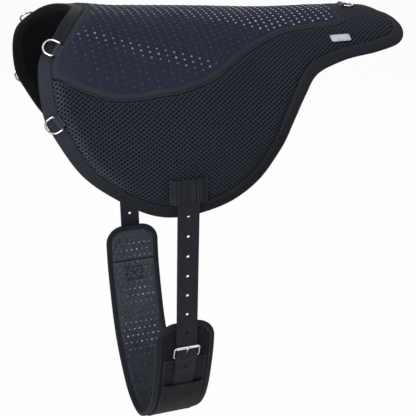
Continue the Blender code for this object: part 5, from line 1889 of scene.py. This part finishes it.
def tongue_line(buckle):
    """From the bar out through the strap, then over the roller, in the buckle's own plane."""
    crossing = Vector((-BUCKLE_PITCH * TONGUE_CROSSING_share, TONGUE_CROSSING_HEIGHT))
    roller = Vector((-BUCKLE_PITCH, ROLLER_HEIGHT))
    reach = ROLLER_RADIUS + TONGUE_REST + TONGUE_RADIUS
    apart = roller - crossing
    heading = math.atan2(apart.y, -apart.x) + math.asin(reach / apart.length)
    points = [Vector((0.0, BAR_HEIGHT)), crossing]
    for k in range(3):
        a = heading - TONGUE_WRAP * k / 2
        ahead, up = Vector((-math.cos(a), math.sin(a))), Vector((math.sin(a), math.cos(a)))
        points.append(roller + up * reach)
    points.append(points[-1] + ahead * TONGUE_PAST)
    return [buckle.flat(p.x, 0.0, p.y) for p in points]


def make_chape(name):
    """Webbing rolled round the buckle's bar and sewn down to the girth, with the tongue's slot."""
    buckle = the_buckle(name)
    reach = BUCKLE_WIRE + CHAPE_PLAY + CHAPE_THICKNESS / 2
    low = CHAPE_THICKNESS / 2 + GIRTH_WEBBING + 3 * GAP
    high = low + CHAPE_THICKNESS + GAP
    top = math.radians(75)
    turns = [top + (2 * math.pi - 2 * top) * k / 22 for k in range(23)]
    bend = [buckle.flat(reach * math.cos(a), 0.0, BAR_HEIGHT + reach * math.sin(a)) for a in turns]
    over, under = [
        [buckle.place(buckle.bar_down + CHAPE_LENGTH * t, 0.0, out) for t in (0.4, 0.6, 0.8, 1.0)]
        for out in (high, low)
    ]
    path = spaced(eased(over[::-1] + bend + under, 0.002, 4), 0.0025)
    width, thickness = STRAP_WIDTH, CHAPE_THICKNESS
    made = strap(f"{name}_chape_webbing", path, buckle.across, width, thickness, "webbing", 12)
    deep, half = BUCKLE_WIRE + CHAPE_PLAY + thickness + 0.004, CHAPE_SLOT / 2
    ends = ((-half, -deep), (half, -deep), (half, deep), (-half, deep))
    slot = [buckle.flat(down, x, BAR_HEIGHT + h) for down in (-deep, deep) for x, h in ends]
    cut_out(made, joined_mesh([(slot, loop_faces(4, 2))]))
    ride(made, "girth", "webbing", f"{name}_chape")
    first, last = buckle.bar_down + 0.014, buckle.bar_down + CHAPE_LENGTH - 0.0025

    def spot(x, t):
        return buckle.place(first + (last - first) * t, x, high + thickness / 2 + STITCH_RISE)

    w = width / 2 - 0.0035
    rows = [[spot(x, t) for t in (0.0, 0.25, 0.5, 0.75, 1.0)] for x in (-w, w)]
    rows += [[spot(x, t) for x in (-w, 0.0, w)] for t in (0.0, 1.0)]
    sew(f"{name}_chape_stitches", rows, "girth", "webbing")


def make_buckle(name):
    """Frame and roller of a roller buckle."""
    buckle = the_buckle(name)
    w, corner, radius = BUCKLE_HALF_WIDTH, BUCKLE_CORNER, ROLLER_RADIUS
    lift = ROLLER_HEIGHT - BAR_HEIGHT
    run = math.hypot(BUCKLE_PITCH, lift)

    def spot(down, x):
        return buckle.flat(-down, x, BAR_HEIGHT + lift * down / run)

    path = []
    for cx, cd, start in (
        (w - corner, corner, -90), (w - corner, run - corner, 0),
        (-w + corner, run - corner, 90), (-w + corner, corner, 180),
    ):
        for k in range(7):
            a = math.radians(start + 15 * k)
            path.append(spot(cd + corner * math.sin(a), cx + corner * math.cos(a)))
    wire = tube(f"{name}_frame", path, BUCKLE_WIRE, 16, "metal", closed=True)
    ride(wire, f"{name}_buckle", "chrome", f"{name}_buckle_frame")

    half, bore = w - corner - GAP, BUCKLE_WIRE + ROLLER_PLAY
    soft = 0.0006 / (2 * half)
    edge = [(0.0, radius - 0.0006), (soft * 0.3, radius - 0.00018), (soft, radius)]
    profile = [*edge, (0.5, radius), *((1 - t, r) for t, r in reversed(edge))]
    profile += [(1.0, bore), (0.5, bore), (0.0, bore)]
    loops = lathe(spot(run, -half), spot(run, half), profile, 40)
    sharp = math.radians(60)
    roller = swept(f"{name}_roller_tube", loops, "roller", closed=True, sharp=sharp)
    ride(roller, f"{name}_roller", "chrome", f"{name}_buckle_roller")


def make_tongue(name):
    """A buckle's tongue: an eye on the bar, and a shaft that lies on the roller."""
    buckle = the_buckle(name)
    bar = buckle.flat(0.0, 0.0, BAR_HEIGHT)
    half, bore = buckle.across * (TONGUE_EYE_WIDTH / 2), BUCKLE_WIRE + ROLLER_PLAY
    outer = bore + TONGUE_EYE_WALL
    profile = [(0.0, outer - 0.0004), (0.08, outer), (0.92, outer), (1.0, outer - 0.0004)]
    eye = lathe(bar - half, bar + half, profile + [(1.0, bore), (0.0, bore)], 32)
    tongue = swept(f"{name}_tongue_wire", eye, "roller", closed=True)
    line = spaced(eased(tongue_line(buckle), 0.0022, 6), 0.0012)
    start = next(k for k, p in enumerate(line) if (p - bar).length > bore + 0.0006)
    shaft = line[start:]
    sizes = [1.0] * (len(shaft) - 2) + [0.92, 0.6]
    part = tube_part(shaft, lambda k: TONGUE_RADIUS * sizes[k], 14)
    cut_out(tongue, joined_mesh([part]), "UNION")
    ride(tongue, f"{name}_tongue", "chrome", f"{name}_buckle_tongue")


def billet_path(buckle, tail):
    """Centre line of a billet: from its sewn top, down free, behind the roller and over the bar."""
    on_belt = STRAP_THICKNESS * 1.5 + 2 * GAP
    off_belt = STRAP_THICKNESS * 0.5 + 3 * GAP
    path = [
        arch(0.0, buckle.side * drop, out)
        for drop, out in (
            (BILLET_TOP_DROP, on_belt),
            (BELT_END_DROP + GAP, on_belt),
            (BELT_END_DROP + 3 * STRAP_THICKNESS, on_belt - STRAP_THICKNESS / 2),
            (KEEPER_TOP_DROP + KEEPER_HEIGHT, off_belt),
        )
    ]
    behind = ROLLER_HEIGHT - ROLLER_RADIUS - GAP - STRAP_THICKNESS / 2
    over_bar = BAR_HEIGHT + BUCKLE_WIRE + CHAPE_PLAY + CHAPE_THICKNESS + GAP + STRAP_THICKNESS / 2
    path += [
        buckle.flat(down, 0.0, out)
        for down, out in (
            (-BUCKLE_PITCH - STRAP_BEND, behind),
            (-BUCKLE_PITCH + STRAP_BEND, behind),
            (-BUCKLE_PITCH * TONGUE_CROSSING_share, TONGUE_CROSSING_HEIGHT),
            (-STRAP_THICKNESS, over_bar),
            (STRAP_THICKNESS, over_bar),
        )
    ]
    on_girth = GIRTH_WEBBING + 3 * GAP + STRAP_THICKNESS / 2
    over_chape = on_girth + 2 * CHAPE_THICKNESS + 4 * GAP
    landing = buckle.bar_down + CHAPE_LENGTH + STRAP_LANDING
    end = buckle.bar_down + tail
    laid = [(buckle.bar_down + CHAPE_LENGTH * t, over_chape) for t in (0.4, 0.7, 1.0)]
    laid += [(landing + (end - landing) * k / 5, on_girth) for k in range(6)]
    return path + [buckle.place(down, 0.0, out) for down, out in laid]


def make_billet(name):
    """A billet with its punched holes, one of them on the tongue."""
    buckle = the_buckle(name)
    used = HOLE_IN_USE[name]
    extra = (HOLE_IN_USE["near"] - used) * HOLE_PITCH
    path = billet_path(buckle, BILLET_TAIL + extra)
    tongue = tongue_line(buckle)
    run = run_along(path)
    at_tongue = run[min(range(len(path)), key=lambda k: (path[k] - tongue[1]).length)]
    fine = spaced(eased(path, 0.004, 5), 0.004)
    size = (STRAP_WIDTH, STRAP_THICKNESS)
    made = strap(f"{name}_billet_strap", fine, buckle.across, *size, "webbing", 14)
    parts = []
    for k in range(STRAP_HOLES):
        if k != used - 1:
            centre, along = point_along(path, run, at_tongue + (k + 1 - used) * HOLE_PITCH)
            through = buckle.across.cross(along).normalized() * (STRAP_THICKNESS + 0.003)
            parts.append(tube_part([centre - through, centre + through], STRAP_HOLE_RADIUS, 28))
    cut_out(made, joined_mesh(parts))
    # The hole in use gives the tongue room from rest to its full lift
    bar = tongue[0]
    for lifts in range(3):
        turn = Matrix.Rotation(-buckle.side * lifts * TONGUE_LIFT, 3, "X")
        line = [bar + turn @ (p - bar) for p in tongue[:3]]
        cut_out(made, joined_mesh([tube_part(line, TONGUE_RADIUS + TONGUE_CLEARANCE, 22)]))
    ride(made, "girth", "webbing", f"{name}_billet")


def make_girth_keeper(name):
    """A keeper sewn across the girth, which holds the billet's tail."""
    buckle = the_buckle(name)
    height, thickness = GIRTH_KEEPER_HEIGHT, GIRTH_KEEPER_THICKNESS
    top, centre, bottom = [
        buckle.place(GIRTH_KEEPER_DOWN + height * t, 0.0, 0.0) for t in (0.0, 0.5, 1.0)
    ]
    low = GIRTH_WEBBING + thickness / 2 + 2 * GAP
    high = GIRTH_WEBBING + STRAP_THICKNESS + 6 * GAP + thickness / 2
    make_keeper(
        f"{name}_girth_band", f"{name}_girth_keeper", centre, (bottom - top).normalized(),
        buckle.side, (GIRTH_KEEPER_WIDTH, height, thickness), (low, high),
        "girth_strip", "girth", "webbing",
    )


# Floor, light and camera


def make_world():
    """White to the camera. Metal sees it paler above than below, and cloth gets little from it."""
    world = bpy.data.worlds.new("studio")
    bpy.context.scene.world = world
    world.use_nodes = True
    t = Tree(world.node_tree)
    rays = t.node("ShaderNodeLightPath").outputs
    seen = [rays["Is Camera Ray"], rays["Is Transmission Ray"]]
    white = t.out("ShaderNodeMath", {"operation": "MAXIMUM"}, seen)
    way = t.node("ShaderNodeSeparateXYZ", (), [t.node("ShaderNodeTexCoord").outputs["Generated"]])
    values = {"Value": way.outputs["Z"], "From Min": -0.1, "From Max": 0.75, "To Min": 0.12}
    sky = t.out("ShaderNodeMapRange", {"interpolation_type": "SMOOTHSTEP"}, values)
    number = {"data_type": "FLOAT"}
    around = t.out("ShaderNodeMix", number, {0: rays["Is Glossy Ray"], 2: 0.30, 3: sky})
    strength = t.out("ShaderNodeMix", number, {0: white, 2: around, 3: 1.0})
    background = t.tree.nodes["Background"]
    background.inputs["Color"].default_value = (1.0, 1.0, 1.0, 1.0)
    t.tree.links.new(strength, background.inputs["Strength"])


def make_lights():
    for name, place, size, power in (
        ("key_light", (-2.0, -1.6, 0.7), 1.4, 62.0),
        ("fill_light", (1.7, -2.0, 0.5), 1.5, 14.0),
        ("top_light", (0.1, -0.4, 2.4), 1.6, 16.0),
        ("back_light", (0.5, 2.6, 0.7), 1.6, 22.0),
    ):
        lamp = bpy.data.lights.new(name, "AREA")
        lamp.shape = "SQUARE"
        lamp.size, lamp.energy = size, power
        light = add_object(name, lamp)
        light.location = place
        aim = CAMERA_AIM - Vector(place)
        light.rotation_euler = aim.to_track_quat("-Z", "Y").to_euler()


def make_camera():
    a, e = CAMERA_AZIMUTH, CAMERA_ELEVATION
    back = Vector((math.sin(a) * math.cos(e), -math.cos(a) * math.cos(e), math.sin(e)))
    right = Vector((math.cos(a), math.sin(a), 0.0))
    camera = bpy.data.cameras.new("camera")
    camera.lens, camera.sensor_width = CAMERA_LENS, CAMERA_SENSOR
    camera.clip_end = 50.0
    viewer = add_object("camera", camera)
    rows = Matrix((right, back.cross(right), back)).transposed().to_4x4()
    viewer.matrix_world = Matrix.Translation(CAMERA_AIM + back * CAMERA_DISTANCE) @ rows
    bpy.context.scene.camera = viewer
    bpy.context.scene.view_settings.view_transform = "Standard"


def make_floor():
    level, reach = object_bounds()[0][2] - FLOOR_BELOW, FLOOR_REACH
    corners = [(-reach, -reach), (reach, -reach), (reach, reach), (-reach, reach)]
    points = [(x, y, level) for x, y in corners]
    add_piece("floor", points, [(0, 1, 2, 3)], "floor")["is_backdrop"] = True


# Operators and panel


class BAREBACK_OT_stage(bpy.types.Operator):
    """Adds the floor, the light and the camera"""

    bl_idname = "bareback.stage"
    bl_label = "Stage"

    def execute(self, context):
        make_world()
        make_floor()
        make_lights()
        make_camera()
        return {"FINISHED"}


class BAREBACK_OT_padding(bpy.types.Operator):
    """Makes the seat, the flaps and the lining"""

    bl_idname = "bareback.padding"
    bl_label = "Padding"

    def execute(self, context):
        make_padding()
        return {"FINISHED"}


class BAREBACK_OT_border(bpy.types.Operator):
    """Makes the binding round the pad, the piping along the seat, and their stitches"""

    bl_idname = "bareback.border"
    bl_label = "Border and Piping"

    def execute(self, context):
        make_border()
        make_piping()
        return {"FINISHED"}


class BAREBACK_OT_grip_dots(bpy.types.Operator):
    """Sets the grip dots on the seat"""

    bl_idname = "bareback.grip_dots"
    bl_label = "Grip Dots"

    def execute(self, context):
        make_grip_dots()
        return {"FINISHED"}


class BAREBACK_OT_keepers(bpy.types.Operator):
    """Makes the wide elastic keepers on the flaps"""

    bl_idname = "bareback.keepers"
    bl_label = "Elastic Keepers"

    def execute(self, context):
        make_keepers()
        return {"FINISHED"}


class BAREBACK_OT_rings(bpy.types.Operator):
    """Makes the D-rings and their tabs"""

    bl_idname = "bareback.rings"
    bl_label = "D-Rings"

    def execute(self, context):
        make_rings()
        return {"FINISHED"}


class BAREBACK_OT_label(bpy.types.Operator):
    """Makes the blank woven label"""

    bl_idname = "bareback.label"
    bl_label = "Label"

    def execute(self, context):
        make_label()
        return {"FINISHED"}


class BAREBACK_OT_girth(bpy.types.Operator):
    """Makes the girth, its binding, its webbing and its keepers"""

    bl_idname = "bareback.girth"
    bl_label = "Girth"

    def execute(self, context):
        make_girth_pad()
        make_girth_lining()
        make_girth_edge()
        make_girth_strip()
        for name in ("near", "far"):
            make_girth_keeper(name)
        return {"FINISHED"}


class BAREBACK_OT_buckles(bpy.types.Operator):
    """Makes the roller buckles and the chapes that hold them"""

    bl_idname = "bareback.buckles"
    bl_label = "Buckles"

    def execute(self, context):
        for name in ("near", "far"):
            make_chape(name)
            make_buckle(name)
            make_tongue(name)
        return {"FINISHED"}


class BAREBACK_OT_billets(bpy.types.Operator):
    """Makes the billets, and finishes the belt that carries them"""

    bl_idname = "bareback.billets"
    bl_label = "Billets and Belt"

    def execute(self, context):
        for name in ("near", "far"):
            make_billet(name)
        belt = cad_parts["girth_belt"].data
        belt.materials.clear()
        belt.materials.append(the_finish("belt"))
        return {"FINISHED"}


OPERATORS = (
    BAREBACK_OT_stage,
    BAREBACK_OT_padding,
    BAREBACK_OT_border,
    BAREBACK_OT_grip_dots,
    BAREBACK_OT_keepers,
    BAREBACK_OT_rings,
    BAREBACK_OT_label,
    BAREBACK_OT_girth,
    BAREBACK_OT_buckles,
    BAREBACK_OT_billets,
)


class BAREBACK_PT_finish(bpy.types.Panel):
    """Sizes, colours and pieces of the bareback pad's finish"""

    bl_idname = "BAREBACK_PT_finish"
    bl_label = "Bareback Pad"
    bl_space_type = "VIEW_3D"
    bl_region_type = "UI"
    bl_category = "Bareback Pad"

    def draw(self, context):
        for group in (context.scene.bareback_sizes, context.scene.bareback_colours):
            column = self.layout.column(align=True)
            for name in group.bl_rna.properties.keys():
                if name not in ("rna_type", "name"):
                    column.prop(group, name)
        column = self.layout.column(align=True)
        for operator in OPERATORS:
            column.operator(operator.bl_idname)


CLASSES = (PadSizes, PadColours, *OPERATORS, BAREBACK_PT_finish)


def register():
    for each in CLASSES:
        bpy.utils.register_class(each)
    bpy.types.Scene.bareback_sizes = bpy.props.PointerProperty(type=PadSizes)
    bpy.types.Scene.bareback_colours = bpy.props.PointerProperty(type=PadColours)


def unregister():
    del bpy.types.Scene.bareback_colours
    del bpy.types.Scene.bareback_sizes
    for each in reversed(CLASSES):
        bpy.utils.unregister_class(each)


def main():
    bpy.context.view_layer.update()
    register()
    for operator in OPERATORS:
        group, name = operator.bl_idname.split(".")
        getattr(getattr(bpy.ops, group), name)()
    bpy.context.view_layer.update()


if __name__ == "__main__":
    main()
